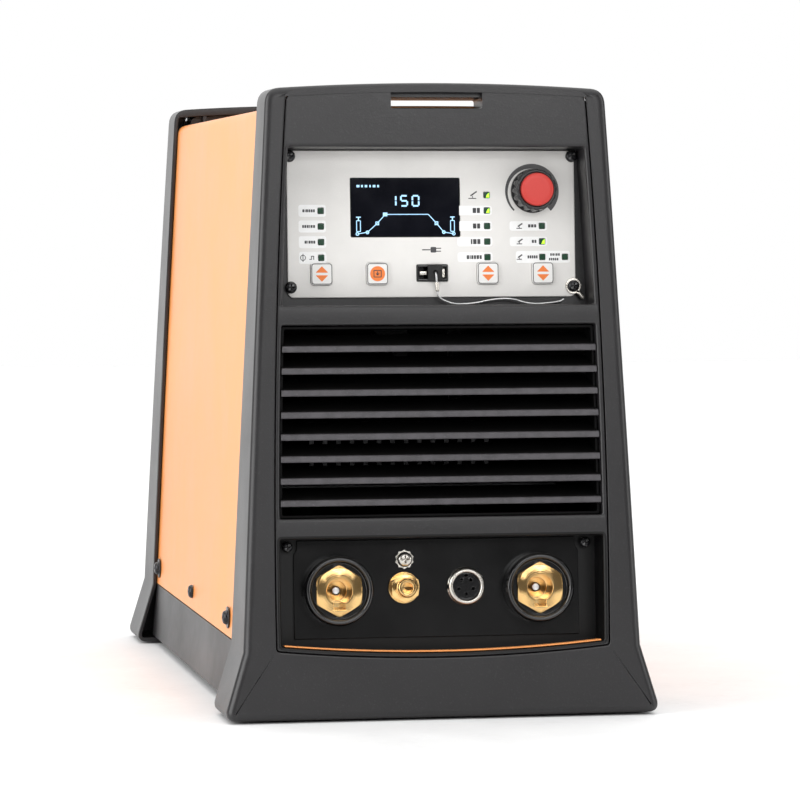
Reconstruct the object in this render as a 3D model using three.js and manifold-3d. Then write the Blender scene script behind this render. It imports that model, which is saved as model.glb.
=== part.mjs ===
// Portable TIG welding machine: two moulded A-shaped end frames, a folded steel cover and base tray,
// a control panel, a louvred grille, the welding sockets and the inverter parts inside.
// Millimetres. +X is the machine's right-hand side seen from the front, +Y runs from front to back, +Z is up.
// The origin is on the floor, at the middle of the machine's outline.
import * as THREE from 'three';
import { mergeVertices } from 'three/addons/utils/BufferGeometryUtils.js';
import Module from 'manifold-3d';

const wasm = await Module();
wasm.setup();

// ---------- driving dimensions ----------

const bodyLength = 455;
const halfLength = bodyLength / 2;
const topHeight = 325;
const rakePerMillimetre = 0.0653;      // lean of both end faces for each millimetre of height
const rakeAngle = Math.atan(rakePerMillimetre);
const gap = 0.3;                       // clearance between touching pieces
const ahead = -5;                      // start of a cut that begins in front of a face
const through = 40;                    // end of a cut that passes a thin plate

const frame = {
  bottom: 1.2,
  footHalfWidth: 112,
  footHeight: 7,
  kinkHalfWidth: 103.2,
  kinkHeight: 36.2,
  topHalfWidth: 88.2,
  cornerHeight: 321.9,
  sideBow: 0.47,
  cornerRadius: 7.5,
  footRadius: 5,
  edgeRadius: 3.2,
  innerEdge: 51,                       // distance from the end plane to the frame's inner, upright edge
  faceThickness: 4,
  wall: 2.3,
  topWall: 4.4,
  rib: { places: [-70, -35, 35, 70], width: 2.4, start: 45.2, low: 316 },
};

const insert = {
  setBack: 0.4,
  depth: 22.8,
  rim: 2.5,
  bottomHalfWidth: 86.2,
  bottomHeight: 36.8,
  bottomSag: 4.5,
  topHalfWidth: 77.7,
  topCorner: 320.3,
  topCentre: 322.9,
  sideBow: 2.85,
  cornerRadius: 4,
  ledgeDepth: 20.3,
  floorRim: 2.3,
  cell: {
    skin: 3,
    low: 296,
    sideHigh: 316.5,
    middleHigh: 309.8,
    middleHalfWidth: 24.5,
    sides: [[27, 49.5], [51.7, 73.6]],
  },
};

const window1 = { low: 212, high: 293 };        // control panel recess
const window2 = { low: 103.7, high: 201.9 };    // grille
const window3High = 93.2;                       // connector recess, which ends in the sagging floor

const slot = { halfWidth: 23.8, low: 312.6, high: 318.8, pocketDepth: 4 };

const grille = { depth: 21.5, frameStart: 5, rim: 1.4, blades: 8, pitch: 11.2, topBlade: 191.4 };
const cover = {
  inset: 2.8,
  thickness: 1.3,
  roof: 312.7,
  roofRise: 1.2,
  cornerRadius: 6,
  bottom: 36.6,
  overlap: 6.5,
};
const tray = { inset: 2.8, thickness: 1.5, bottom: 4.6, joggle: 1.9, flangeTop: 58 };
const foot = { radius: 10, top: 4.2, x: 88, y: 135 };

const panel = { halfWidth: 75.5, low: 216.8, high: 292.6, face: 18.5, thickness: 1.5, corner: 3 };
const connectorPanel = { halfWidth: 74.5, low: 42, high: 92.3, face: 18.3, thickness: 1.6 };

const display = { x: -13.8, height: 263.2, width: 57.6, tall: 30.8 };
const encoder = { x: 53, height: 271.5, shaftRadius: 3, bodyWidth: 12, bodyTall: 12.4 };
const knob = {
  flutes: 16,
  radius: 10.7,
  flute: 0.35,
  front: 6.4,
  back: 16.6,
  end: 17.7,
  baseRadius: 11.4,
  seatRadius: 8.9,
  seatEnd: 7.4,
};
const buttonRow = { height: 229, side: 11.4, travel: 0.5, proud: 1.3 };
const buttonColumns = {
  left_mode_button: -58,
  save_button: -29,
  trigger_mode_button: 29,
  process_mode_button: 58,
};
const indicator = {
  side: 2.9,
  top: 269.6,
  step: 8.05,
  leftColumn: -58,
  middleColumn: 29,
  rightColumn: 58,
  lastColumn: 70,
};
const usb = { x: -0.2, height: 229.3, width: 15.8, tall: 8.2 };
const usbPlug = { x: 1.1, width: 7.4, tall: 8.8, front: 16.4 };

const weldSocket = {
  x: 52.4,
  height: 66.5,
  flangeRadius: 18,
  bodyRadius: 14.6,
  bodyEnd: 44,
  front: 7.9,
  boreRadius: 6.65,
  hexWidth: 23.4,
  keyWidth: 5.8,
  keyDepth: 3,
  boreEnd: 34,
};
const gasOutlet = { x: -17.6, height: 67.5, bodyRadius: 4.6, boreRadius: 2.8, hexRadius: 7.9 };
const remoteSocket = { x: 14.8, height: 67.6, bodyRadius: 8, boreRadius: 7.4, pins: 5, pinCircle: 4 };
const groundScrew = { x: -17, height: 82, headRadius: 4, holeRadius: 2, end: 24 };
const panelScrew = { x: 74, low: 222.2, high: 289.6, headRadius: 3.1, holeRadius: 1.9 };
const connectorScrew = { x: 78, height: 89.3, headRadius: 2.7, shankRadius: 2.2, notchRadius: 5.2 };
const coverScrewRows = [-143.8, 8.8, 165.2];
const coverScrew = {
  height: 46.6,
  headRadius: 3.9,
  headTall: 2.4,
  holeRadius: 1.9,
  shank: 1.5,
  shankLength: 8,
  washerRadius: 5.8,
  washerThickness: 0.9,
};

const fan = { radius: 46, centre: 152.8, depth: 25, hubRadius: 15, rotorHub: 17.5, blades: 7, pitch: 38 };

// ---------- materials ----------

const materials = {
  frame_plastic: { color: '#2b2a2e', roughness: 0.55, metalness: 0 },
  grille_plastic: { color: '#242327', roughness: 0.6, metalness: 0 },
  orange_paint: { color: '#f0a468', roughness: 0.4, metalness: 0 },
  black_paint: { color: '#17171a', roughness: 0.45, metalness: 0 },
  tray_paint: { color: '#35363a', roughness: 0.5, metalness: 0 },
  panel_paint: { color: '#dcdbd8', roughness: 0.5, metalness: 0 },
  display_glass: { color: '#0b1320', roughness: 0.1, metalness: 0 },
  button_plastic: { color: '#f4f3f1', roughness: 0.4, metalness: 0 },
  lens_plastic: { color: '#0f4a2c', roughness: 0.3, metalness: 0 },
  knob_black: { color: '#1c1c1e', roughness: 0.5, metalness: 0 },
  knob_red: { color: '#c8262c', roughness: 0.35, metalness: 0 },
  socket_black: { color: '#0c0c0d', roughness: 0.2, metalness: 0 },
  brass: { color: '#d9a441', roughness: 0.25, metalness: 1 },
  nickel: { color: '#c9c4bb', roughness: 0.2, metalness: 1 },
  screw_black: { color: '#1a1a1c', roughness: 0.3, metalness: 0.6 },
  rubber: { color: '#18181a', roughness: 0.8, metalness: 0 },
  board_green: { color: '#1f5a3a', roughness: 0.5, metalness: 0 },
  aluminium: { color: '#b9bcc0', roughness: 0.4, metalness: 1 },
  copper_winding: { color: '#b4652f', roughness: 0.4, metalness: 0.8 },
  white_plastic: { color: '#e6e4df', roughness: 0.5, metalness: 0 },
};

function standardMaterial(slotName) {
  return new THREE.MeshStandardMaterial({ name: slotName, ...materials[slotName] });
}

// ---------- solids ----------

function solid(geometry) {
  const bare = geometry.index ? geometry.toNonIndexed() : geometry.clone();
  bare.deleteAttribute('normal');
  bare.deleteAttribute('uv');
  const merged = mergeVertices(bare, 1e-4);
  const triVerts = new Uint32Array(merged.index.array);
  const vertProperties = merged.attributes.position.array;
  return new wasm.Manifold(new wasm.Mesh({ numProp: 3, vertProperties, triVerts }));
}

function geometryOf(manifold) {
  const mesh = manifold.getMesh();
  const geometry = new THREE.BufferGeometry();
  geometry.setAttribute('position', new THREE.BufferAttribute(new Float32Array(mesh.vertProperties), 3));
  geometry.setIndex(new THREE.BufferAttribute(new Uint32Array(mesh.triVerts), 1));
  return geometry;
}

function join(...pieces) {
  return pieces.reduce((whole, piece) => whole.add(piece));
}

function cut(base, ...tools) {
  return tools.reduce((left, tool) => left.subtract(tool), base);
}

function box(x0, x1, y0, y1, z0, z1) {
  const geometry = new THREE.BoxGeometry(x1 - x0, y1 - y0, z1 - z0);
  geometry.translate((x0 + x1) / 2, (y0 + y1) / 2, (z0 + z1) / 2);
  return geometry;
}

// A block centred at x and height, from depth y0 to depth y1.
function block(x, height, width, tall, y0, y1) {
  return solid(box(x - width / 2, x + width / 2, y0, y1, height - tall / 2, height + tall / 2));
}

// A shape drawn in X and height, made solid from depth y0 to depth y1.
function slab(shape, y0, y1, options = {}) {
  const bevel = options.bevel ?? 0;
  const geometry = new THREE.ExtrudeGeometry(shape, {
    depth: y1 - y0 - 2 * bevel,
    steps: 1,
    curveSegments: options.segments ?? 8,
    bevelEnabled: bevel > 0,
    bevelThickness: bevel,
    bevelSize: bevel,
    bevelOffset: -bevel,
    bevelSegments: options.bevelSegments ?? 2,
  });
  geometry.rotateX(Math.PI / 2);
  geometry.translate(0, y1 - bevel, 0);
  return geometry;
}

// A profile of [radius, depth] points turned about a line that runs along the depth at (x, height).
function turned(profile, x, height, segments = 20) {
  const points = profile.map(([radius, depth]) => new THREE.Vector2(radius, depth));
  const geometry = new THREE.LatheGeometry(points, segments);
  const position = geometry.attributes.position;
  for (let i = 0; i < position.count; i += 1) {
    if (Math.hypot(position.getX(i), position.getZ(i)) < 1e-6) {
      position.setXYZ(i, 0, position.getY(i), 0);
    }
  }
  geometry.translate(x, 0, 0);
  const whole = solid(geometry);
  return (whole.volume() < 0 ? solid(flipped(geometry)) : whole).translate([0, 0, height]);
}

function flipped(geometry) {
  const open = geometry.index ? geometry.toNonIndexed() : geometry.clone();
  const array = open.attributes.position.array;
  for (let i = 0; i < array.length; i += 9) {
    for (let k = 0; k < 3; k += 1) {
      const second = array[i + 3 + k];
      array[i + 3 + k] = array[i + 6 + k];
      array[i + 6 + k] = second;
    }
  }
  return open;
}

function polygonShape(sides, radius, x, height, turn = 0) {
  const shape = new THREE.Shape();
  for (let i = 0; i < sides; i += 1) {
    const angle = turn + (2 * Math.PI * i) / sides;
    shape[i ? 'lineTo' : 'moveTo'](x + radius * Math.cos(angle), height + radius * Math.sin(angle));
  }
  shape.closePath();
  return shape;
}

function roundedRectangle(x, height, width, tall, radius, path = new THREE.Shape()) {
  const left = x - width / 2;
  const right = x + width / 2;
  const low = height - tall / 2;
  const high = height + tall / 2;
  path.moveTo(left + radius, low);
  path.lineTo(right - radius, low);
  path.quadraticCurveTo(right, low, right, low + radius);
  path.lineTo(right, high - radius);
  path.quadraticCurveTo(right, high, right - radius, high);
  path.lineTo(left + radius, high);
  path.quadraticCurveTo(left, high, left, high - radius);
  path.lineTo(left, low + radius);
  path.quadraticCurveTo(left, low, left + radius, low);
  path.closePath();
  return path;
}

// ---------- outlines ----------

// Half-width of the end frames at a height above the kink: a straight taper with a slight outward bow.
function sideHalfWidth(height) {
  const share = (height - frame.kinkHeight) / (frame.cornerHeight - frame.kinkHeight);
  const straight = frame.kinkHalfWidth + (frame.topHalfWidth - frame.kinkHalfWidth) * share;
  return straight + 4 * frame.sideBow * share * (1 - share);
}

const sideSlopeAtKink = (frame.topHalfWidth - frame.kinkHalfWidth + 4 * frame.sideBow)
  / (frame.cornerHeight - frame.kinkHeight);

// The A-shaped outline of an end frame: flared foot, gently bowed sides and a low arch.
// It is brought in by side, top and low.
function frameOutline(side = 0, top = 0, low = 0) {
  const { bottom, footHalfWidth, footHeight, kinkHalfWidth, kinkHeight, cornerRadius, footRadius } = frame;
  const floor = bottom + low;
  const footX = footHalfWidth - side;
  const kinkX = kinkHalfWidth - side;
  const corner = frame.cornerHeight - top;
  const sideEnd = corner - cornerRadius;
  const endX = sideHalfWidth(sideEnd) - side;
  const controlX = kinkX + (sideSlopeAtKink * (sideEnd - kinkHeight)) / 2;
  const controlHeight = (kinkHeight + sideEnd) / 2;
  const archEnd = endX - cornerRadius;
  const archControl = 2 * (topHeight - top) - corner - 0.5;
  const shape = new THREE.Shape();
  shape.moveTo(-footX + footRadius, floor);
  shape.lineTo(footX - footRadius, floor);
  shape.quadraticCurveTo(footX + 1, floor, footX, footHeight + low);
  shape.lineTo(kinkX, kinkHeight);
  shape.quadraticCurveTo(controlX, controlHeight, endX, sideEnd);
  shape.quadraticCurveTo(endX - 0.4, corner, archEnd, corner + 0.5);
  shape.quadraticCurveTo(0, archControl, -archEnd, corner + 0.5);
  shape.quadraticCurveTo(-endX + 0.4, corner, -endX, sideEnd);
  shape.quadraticCurveTo(-controlX, controlHeight, -kinkX, kinkHeight);
  shape.lineTo(-footX, footHeight + low);
  shape.quadraticCurveTo(-footX - 1, floor, -footX + footRadius, floor);
  return shape;
}

// Half-width of the inner moulding at a height along the sloping face.
function insertHalfWidth(height) {
  const { bottomHeight, bottomHalfWidth, topCorner, topHalfWidth, sideBow } = insert;
  const share = (height - bottomHeight) / (topCorner - bottomHeight);
  return bottomHalfWidth + (topHalfWidth - bottomHalfWidth) * share + 4 * sideBow * share * (1 - share);
}

// Height of the sagging lower edge at x.
function floorHeight(x) {
  const share = x / insert.bottomHalfWidth;
  return insert.bottomHeight - insert.bottomSag * (1 - share * share);
}

// Outline between two heights, following the moulding's bowed sides with a set-in.
function sideFollowingShape(low, high, setIn, stations = 6) {
  const heights = Array.from({ length: stations + 1 }, (_, i) => low + ((high - low) * i) / stations);
  const shape = new THREE.Shape();
  shape.moveTo(-(insertHalfWidth(low) - setIn), low);
  heights.forEach((height) => shape.lineTo(insertHalfWidth(height) - setIn, height));
  const down = [...heights].reverse().slice(0, -1);
  down.forEach((height) => shape.lineTo(-(insertHalfWidth(height) - setIn), height));
  shape.closePath();
  return shape;
}

// Outline of the whole inner moulding, grown outwards by grow.
function insertOutline(grow = 0) {
  const { topHalfWidth, topCorner, topCentre, bottomHeight, bottomHalfWidth, cornerRadius } = insert;
  const topX = topHalfWidth + grow;
  const sideTop = topCorner + grow - cornerRadius;
  const archEnd = topCorner + grow + 0.2;
  const archControl = 2 * (topCentre + grow) - topCorner - grow;
  const shape = new THREE.Shape();
  const stations = 9;
  for (let i = 0; i <= stations; i += 1) {
    const x = -bottomHalfWidth - grow + (2 * (bottomHalfWidth + grow) * i) / stations;
    shape[i ? 'lineTo' : 'moveTo'](x, floorHeight(x) - grow);
  }
  for (let i = 1; i <= stations; i += 1) {
    const height = bottomHeight + ((sideTop - bottomHeight) * i) / stations;
    shape.lineTo(insertHalfWidth(height) + grow, height);
  }
  shape.quadraticCurveTo(topX, topCorner + grow, topX - cornerRadius, archEnd);
  shape.quadraticCurveTo(0, archControl, -topX + cornerRadius, archEnd);
  shape.quadraticCurveTo(-topX, topCorner + grow, -insertHalfWidth(sideTop) - grow, sideTop);
  for (let i = stations - 1; i >= 1; i -= 1) {
    const height = bottomHeight + ((sideTop - bottomHeight) * i) / stations;
    shape.lineTo(-insertHalfWidth(height) - grow, height);
  }
  shape.closePath();
  return shape;
}

// The connector recess: sagging floor, bowed sides and a straight top.
function connectorRecessShape(setIn) {
  const stations = 12;
  const low = insert.bottomHeight;
  const halfFloor = insertHalfWidth(low) - setIn;
  const shape = new THREE.Shape();
  for (let i = 0; i <= stations; i += 1) {
    const x = -halfFloor + (2 * halfFloor * i) / stations;
    shape[i ? 'lineTo' : 'moveTo'](x, floorHeight(x) + insert.floorRim);
  }
  const halfTop = insertHalfWidth(window3High) - setIn;
  shape.lineTo(halfTop, window3High);
  shape.lineTo(-halfTop, window3High);
  shape.closePath();
  return shape;
}

// ---------- end frames ----------

// Moves a straight extrusion so that its outer end leans with the face, while its inner end stays upright.
function leanOuterEnd(geometry, depth, start = 0) {
  const position = geometry.attributes.position;
  for (let i = 0; i < position.count; i += 1) {
    const share = (position.getY(i) - start) / (depth - start);
    const lean = rakePerMillimetre * position.getZ(i);
    position.setY(i, position.getY(i) + lean * (1 - share));
  }
  return geometry;
}

function faceTool(geometryOrSolid) {
  const tool = geometryOrSolid.attributes ? solid(geometryOrSolid) : geometryOrSolid;
  return tool.rotate([(-rakeAngle * 180) / Math.PI, 0, 0]);
}

function endFrameSolid() {
  const outside = leanOuterEnd(
    slab(frameOutline(), 0, frame.innerEdge, { bevel: frame.edgeRadius, bevelSegments: 3, segments: 6 }),
    frame.innerEdge,
  );
  const hollowEnd = frame.innerEdge + 10;
  const inside = frameOutline(frame.wall, frame.topWall, frame.wall);
  const hollow = leanOuterEnd(
    slab(inside, frame.faceThickness, hollowEnd, { segments: 6 }),
    hollowEnd,
    frame.faceThickness,
  );
  const openingEnd = insert.setBack + insert.depth + gap;
  const opening = faceTool(slab(insertOutline(0.5), ahead, openingEnd, { segments: 6 }));
  return cut(solid(outside), solid(hollow), opening);
}

function ribbedFrameSolid() {
  const { places, width, start, low } = frame.rib;
  const high = topHeight - frame.topWall;
  const ribs = places.map((x) => block(x, (low + high) / 2, width, high - low, start, frame.innerEdge - 1));
  return join(endFrameSolid(), ...ribs);
}

// ---------- inner moulding ----------

function insertSolid(panelOpening, connectorOpening) {
  const front = insert.setBack;
  const back = insert.setBack + insert.depth;
  const beyond = back + 5;
  const body = solid(slab(insertOutline(), front, back, { segments: 6 }));
  const panelShape = sideFollowingShape(window1.low, window1.high, insert.rim);
  const grilleShape = sideFollowingShape(window2.low, window2.high, insert.rim);
  const pocketEnd = front + slot.pocketDepth;
  const panelRecess = solid(slab(panelShape, ahead, insert.ledgeDepth));
  const grilleHole = solid(slab(grilleShape, ahead, beyond));
  const connectorRecess = solid(slab(connectorRecessShape(insert.rim), ahead, insert.ledgeDepth));
  const pocket = solid(box(-slot.halfWidth, slot.halfWidth, ahead, pocketEnd, slot.low, topHeight + 5));
  const passage = solid(box(-slot.halfWidth, slot.halfWidth, ahead, beyond, slot.low, slot.high));
  const openings = [...panelOpening, ...connectorOpening];
  return cut(body, panelRecess, grilleHole, connectorRecess, pocket, passage, ...openings, ...headCells());
}

function frontInsertSolid() {
  const beyond = insert.setBack + insert.depth + 5;
  const panelHole = { halfWidth: 70.5, low: 219.2, high: 286.6 };
  const relief = { near: 69, far: 72.8, low: 231, high: 244 };
  const connectorHole = { halfWidth: 72, low: 46, high: 85.2 };
  const opening = (left, right, { low, high }) => solid(box(left, right, ahead, beyond, low, high));
  const panelOpening = opening(-panelHole.halfWidth, panelHole.halfWidth, panelHole);
  const lastLampRelief = opening(relief.near, relief.far, relief);
  const connectorOpening = opening(-connectorHole.halfWidth, connectorHole.halfWidth, connectorHole);
  return insertSolid([panelOpening, lastLampRelief], [connectorOpening]);
}

// At the back the recess walls are closed, apart from the holes for the switch, the gland and the gas inlet.
function rearInsertSolid() {
  const beyond = insert.setBack + insert.depth + 5;
  const { x, height, width, tall } = mainsSwitch;
  const play = 0.4;
  const mouth = roundedRectangle(x, height, width + 2 * play, tall + 2 * play, 2 * play);
  const switchHole = solid(slab(mouth, ahead, beyond));
  const fittingHole = (fitting, sides) => {
    return turned(rod(fitting.threadRadius + play, ahead, beyond), fitting.x, fitting.height, sides);
  };
  const glandHole = fittingHole(cableGland, 20);
  const inletHole = fittingHole(gasInlet, 14);
  return insertSolid([switchHole], [glandHole, inletHole]);
}

// Cells moulded into the back of the head, with ribs left between them.
function headCells() {
  const { skin, low, sideHigh, middleHigh, middleHalfWidth, sides } = insert.cell;
  const start = insert.setBack + skin;
  const end = insert.setBack + insert.depth + 5;
  const cells = sides.flatMap(([near, far]) => [
    solid(box(near, far, start, end, low, sideHigh)),
    solid(box(-far, -near, start, end, low, sideHigh)),
  ]);
  return [...cells, solid(box(-middleHalfWidth, middleHalfWidth, start, end, low, middleHigh))];
}

// Eight sloping blades between two end cheeks.
function grilleSolid() {
  const setIn = insert.rim + gap;
  const low = window2.low + gap;
  const high = window2.high - gap;
  const { depth, frameStart, rim, blades: count, pitch, topBlade } = grille;
  const inside = sideFollowingShape(low + rim, high - rim, setIn + rim, 3);
  const envelope = solid(slab(sideFollowingShape(low, high, setIn, 3), 0, depth));
  const ringOutside = solid(slab(sideFollowingShape(low, high, setIn, 3), frameStart, depth));
  const ringInside = solid(slab(inside, 0, through));
  const bladeLength = 2 * frame.topHalfWidth + 3.6;
  const blade = new THREE.Shape();
  blade.moveTo(0, -3.1);
  blade.lineTo(0, 0);
  blade.lineTo(1, 0.15);
  blade.lineTo(20.2, 6.4);
  blade.lineTo(20.2, 4.6);
  blade.lineTo(3, -1.6);
  blade.lineTo(2.6, -3.1);
  blade.closePath();
  const blades = Array.from({ length: count }, (_, i) => {
    const geometry = new THREE.ExtrudeGeometry(blade, { depth: bladeLength, bevelEnabled: false });
    geometry.rotateX(Math.PI / 2);
    geometry.rotateZ(Math.PI / 2);
    geometry.translate(-bladeLength / 2, 1, topBlade - i * pitch);
    return solid(geometry);
  });
  return cut(ringOutside, ringInside).add(join(...blades).intersect(envelope));
}

function trimStripSolid() {
  const halfWidth = insert.bottomHalfWidth - insert.rim - 1.5;
  const stations = 12;
  const base = insert.floorRim + gap;
  const thickness = 1;
  const places = Array.from({ length: stations + 1 }, (_, i) => -halfWidth + (2 * halfWidth * i) / stations);
  const shape = new THREE.Shape();
  places.forEach((x, i) => shape[i ? 'lineTo' : 'moveTo'](x, floorHeight(x) + base));
  [...places].reverse().forEach((x) => shape.lineTo(x, floorHeight(x) + base + thickness));
  shape.closePath();
  return slab(shape, 1.2, 9);
}

// ---------- cover, tray and feet ----------

const coverFront = -halfLength + frame.innerEdge - cover.overlap;
const coverBack = -coverFront;

function coverSolid() {
  const ring = (extra) => {
    const stations = 8;
    const shoulder = cover.roof - cover.cornerRadius;
    const right = [];
    for (let i = 0; i <= stations; i += 1) {
      const height = cover.bottom + ((shoulder - cover.bottom) * i) / stations;
      right.push([sideHalfWidth(height) - cover.inset - extra, height]);
    }
    return right;
  };
  const shape = new THREE.Shape();
  const outer = ring(0);
  const inner = ring(cover.thickness);
  const roof = cover.roof;
  const outerX = outer[outer.length - 1][0];
  const innerX = inner[inner.length - 1][0];
  const innerRoof = roof - cover.thickness;
  const radius = cover.cornerRadius;
  shape.moveTo(...outer[0]);
  outer.slice(1).forEach((point) => shape.lineTo(...point));
  shape.quadraticCurveTo(outerX - 0.2, roof, outerX - radius, roof + 0.2);
  shape.quadraticCurveTo(0, roof + 2 * cover.roofRise, -outerX + radius, roof + 0.2);
  shape.quadraticCurveTo(-outerX + 0.2, roof, -outerX, outer[outer.length - 1][1]);
  [...outer].reverse().slice(1).forEach(([x, height]) => shape.lineTo(-x, height));
  inner.forEach(([x, height]) => shape.lineTo(-x, height));
  shape.quadraticCurveTo(-innerX + 0.2, innerRoof, -innerX + radius - 1, innerRoof + 0.2);
  shape.quadraticCurveTo(0, innerRoof + 2 * cover.roofRise, innerX - radius + 1, innerRoof + 0.2);
  shape.quadraticCurveTo(innerX - 0.2, innerRoof, innerX, inner[inner.length - 1][1]);
  [...inner].reverse().slice(1).forEach((point) => shape.lineTo(...point));
  shape.closePath();
  return cut(solid(slab(shape, coverFront, coverBack)), ...coverScrewHoles());
}

function traySolid() {
  const t = tray.thickness;
  const waist = frame.kinkHalfWidth - tray.inset;
  const skirt = waist + 2.6;
  const flange = waist - tray.joggle;
  const flangeTopX = sideHalfWidth(tray.flangeTop) - cover.inset - tray.joggle;
  const right = [
    [skirt, tray.bottom],
    [waist, cover.bottom - 0.9],
    [flange, cover.bottom - 0.2],
    [flangeTopX, tray.flangeTop],
    [flangeTopX - t, tray.flangeTop],
    [flange - t, cover.bottom - 0.2],
    [waist - t, cover.bottom - 0.9],
    [skirt - t, tray.bottom + t],
  ];
  const shape = new THREE.Shape();
  right.forEach((point, i) => shape[i ? 'lineTo' : 'moveTo'](...point));
  [...right].reverse().forEach(([x, height]) => shape.lineTo(-x, height));
  shape.closePath();
  return cut(solid(slab(shape, coverFront, coverBack)), ...coverScrewHoles());
}

function coverScrewHoles() {
  const { holeRadius, height } = coverScrew;
  return coverScrewRows.map((y) => solid(sideCylinder(holeRadius, -120, 120, y, height, 10)));
}

function sideCylinder(radius, x0, x1, y, height, segments) {
  const geometry = new THREE.CylinderGeometry(radius, radius, x1 - x0, segments);
  geometry.rotateZ(Math.PI / 2);
  geometry.translate((x0 + x1) / 2, y, height);
  return geometry;
}

// A button-head screw; the end ones of each row have a captive washer.
function coverScrewSolid(side, y, hasWasher) {
  const { height, headRadius, headTall, shank, shankLength, washerRadius, washerThickness } = coverScrew;
  const seat = sideHalfWidth(height) - cover.inset + gap;
  const underHead = hasWasher ? seat + washerThickness : seat;
  const washer = hasWasher ? [[washerRadius, seat], [washerRadius, underHead]] : [];
  const profile = [
    [0, seat - shankLength],
    [shank, seat - shankLength],
    [shank, seat],
    ...washer,
    [headRadius, underHead],
    [headRadius, underHead + headTall * 0.4],
    [headRadius * 0.62, underHead + headTall],
    [0, underHead + headTall],
  ];
  return turned(profile, 0, 0, 14).rotate([0, 0, side > 0 ? -90 : 90]).translate([0, y, height]);
}

function footSolid() {
  const { radius, top } = foot;
  const outline = [[0, 0], [radius - 1, 0], [radius, 1], [radius - 0.8, top], [0, top]];
  const points = outline.map(([r, z]) => new THREE.Vector2(r, z));
  return new THREE.LatheGeometry(points, 14).rotateX(Math.PI / 2);
}

// ---------- control panel and what sits in it ----------

function indicatorPlaces() {
  const height = (row) => indicator.top - row * indicator.step;
  const left = [1, 2, 3, 4].map((row) => [indicator.leftColumn, height(row)]);
  const middle = [0, 1, 2, 3, 4].map((row) => [indicator.middleColumn, height(row)]);
  const right = [2, 3, 4].map((row) => [indicator.rightColumn, height(row)]);
  return { left, right: [...middle, ...right, [indicator.lastColumn, height(4)]] };
}

function controlPanelSolid() {
  const middle = (panel.low + panel.high) / 2;
  const outline = roundedRectangle(0, middle, 2 * panel.halfWidth, panel.high - panel.low, panel.corner);
  const plate = solid(slab(outline, panel.face, panel.face + panel.thickness, { segments: 3 }));
  const { left, right } = indicatorPlaces();
  const lamp = indicator.side + 0.6;
  const keyHole = buttonRow.side + 0.7;
  return cut(
    plate,
    roundedHole(display.x, display.height, display.width, display.tall, 0.6),
    roundedHole(usb.x, usb.height, usb.width + 0.8, usb.tall + 0.8, 0.6),
    ...Object.values(buttonColumns).map((x) => roundedHole(x, buttonRow.height, keyHole, keyHole, 2)),
    ...[...left, ...right].map(([x, height]) => block(x, height, lamp, lamp, 0, through)),
    turned(rod(encoder.shaftRadius + 1.4, 0, through), encoder.x, encoder.height, 14),
    ...screwPlaces().map(([x, height]) => turned(rod(panelScrew.holeRadius, 0, through), x, height, 10)),
  );
}

function roundedHole(x, height, width, tall, radius) {
  return solid(slab(roundedRectangle(x, height, width, tall, radius), 0, through, { segments: 3 }));
}

function screwPlaces() {
  return [
    [-panelScrew.x, panelScrew.high],
    [panelScrew.x, panelScrew.high],
    [-panelScrew.x, panelScrew.low],
    [panelScrew.x, panelScrew.low],
  ];
}

// A pan-head screw with its washer face at the given depth.
function panScrewSolid(x, height, seat, headRadius, shankEnd, shankRadius = 1.6) {
  const tall = headRadius * 0.75;
  const profile = [
    [0, seat - tall],
    [headRadius * 0.55, seat - tall],
    [headRadius * 0.9, seat - tall * 0.6],
    [headRadius, seat],
    [shankRadius, seat],
    [shankRadius, shankEnd],
    [0, shankEnd],
  ];
  return turned(profile, x, height, 12);
}

function groundScrewSolid() {
  const { x, height, headRadius, end } = groundScrew;
  return panScrewSolid(x, height, connectorPanel.face - gap, headRadius, end);
}

function displaySolid() {
  const shape = roundedRectangle(display.x, display.height, display.width - 0.7, display.tall - 0.7, 0.4);
  return slab(shape, panel.face + 0.2, panel.face + panel.thickness + 0.3, { segments: 3 });
}

function buttonSolid(x) {
  const front = panel.face - buttonRow.proud;
  const back = panel.face + panel.thickness + 0.5;
  const { height, side } = buttonRow;
  const cap = slab(roundedRectangle(x, height, side, side, 1.8), front, back + 0.1, {
    segments: 2,
    bevel: 0.35,
    bevelSegments: 1,
  });
  const flangeSide = side + 1.6;
  const flangeShape = roundedRectangle(x, height, flangeSide, flangeSide, 1);
  const flange = slab(flangeShape, back - 0.1, back + 1, { segments: 2 });
  return join(solid(cap), solid(flange));
}

const boardFront = 26;

// Light guides: a bar behind the panel with one square post into each window.
function lightGuideSolid(places, bars) {
  const front = panel.face - 0.1;
  const barFront = panel.face + panel.thickness + gap + 0.1;
  const { side } = indicator;
  const posts = places.map(([x, height]) => block(x, height, side, side, front, barFront + 1));
  const rails = bars.map(([left, right, low, high]) => {
    return solid(box(left, right, barFront, barFront + 2, low, high));
  });
  return join(...rails, ...posts);
}

function lightGuide() {
  const { left, right } = indicatorPlaces();
  const low = indicator.top - 4 * indicator.step - 1.6;
  const bridge = indicator.top - 3 * indicator.step;
  return lightGuideSolid([...left, ...right], [
    [-60.3, -55.7, low, left[0][1] + 1.7],
    [-56, 27, low, low + 3.1],
    [26.9, 31.1, low, indicator.top + 1.7],
    [55.9, 60.1, low, indicator.top - 2 * indicator.step + 1.7],
    [31, 56, bridge - 1.5, bridge + 1.5],
    [60, 71.6, low, low + 3.1],
  ]);
}

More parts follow.
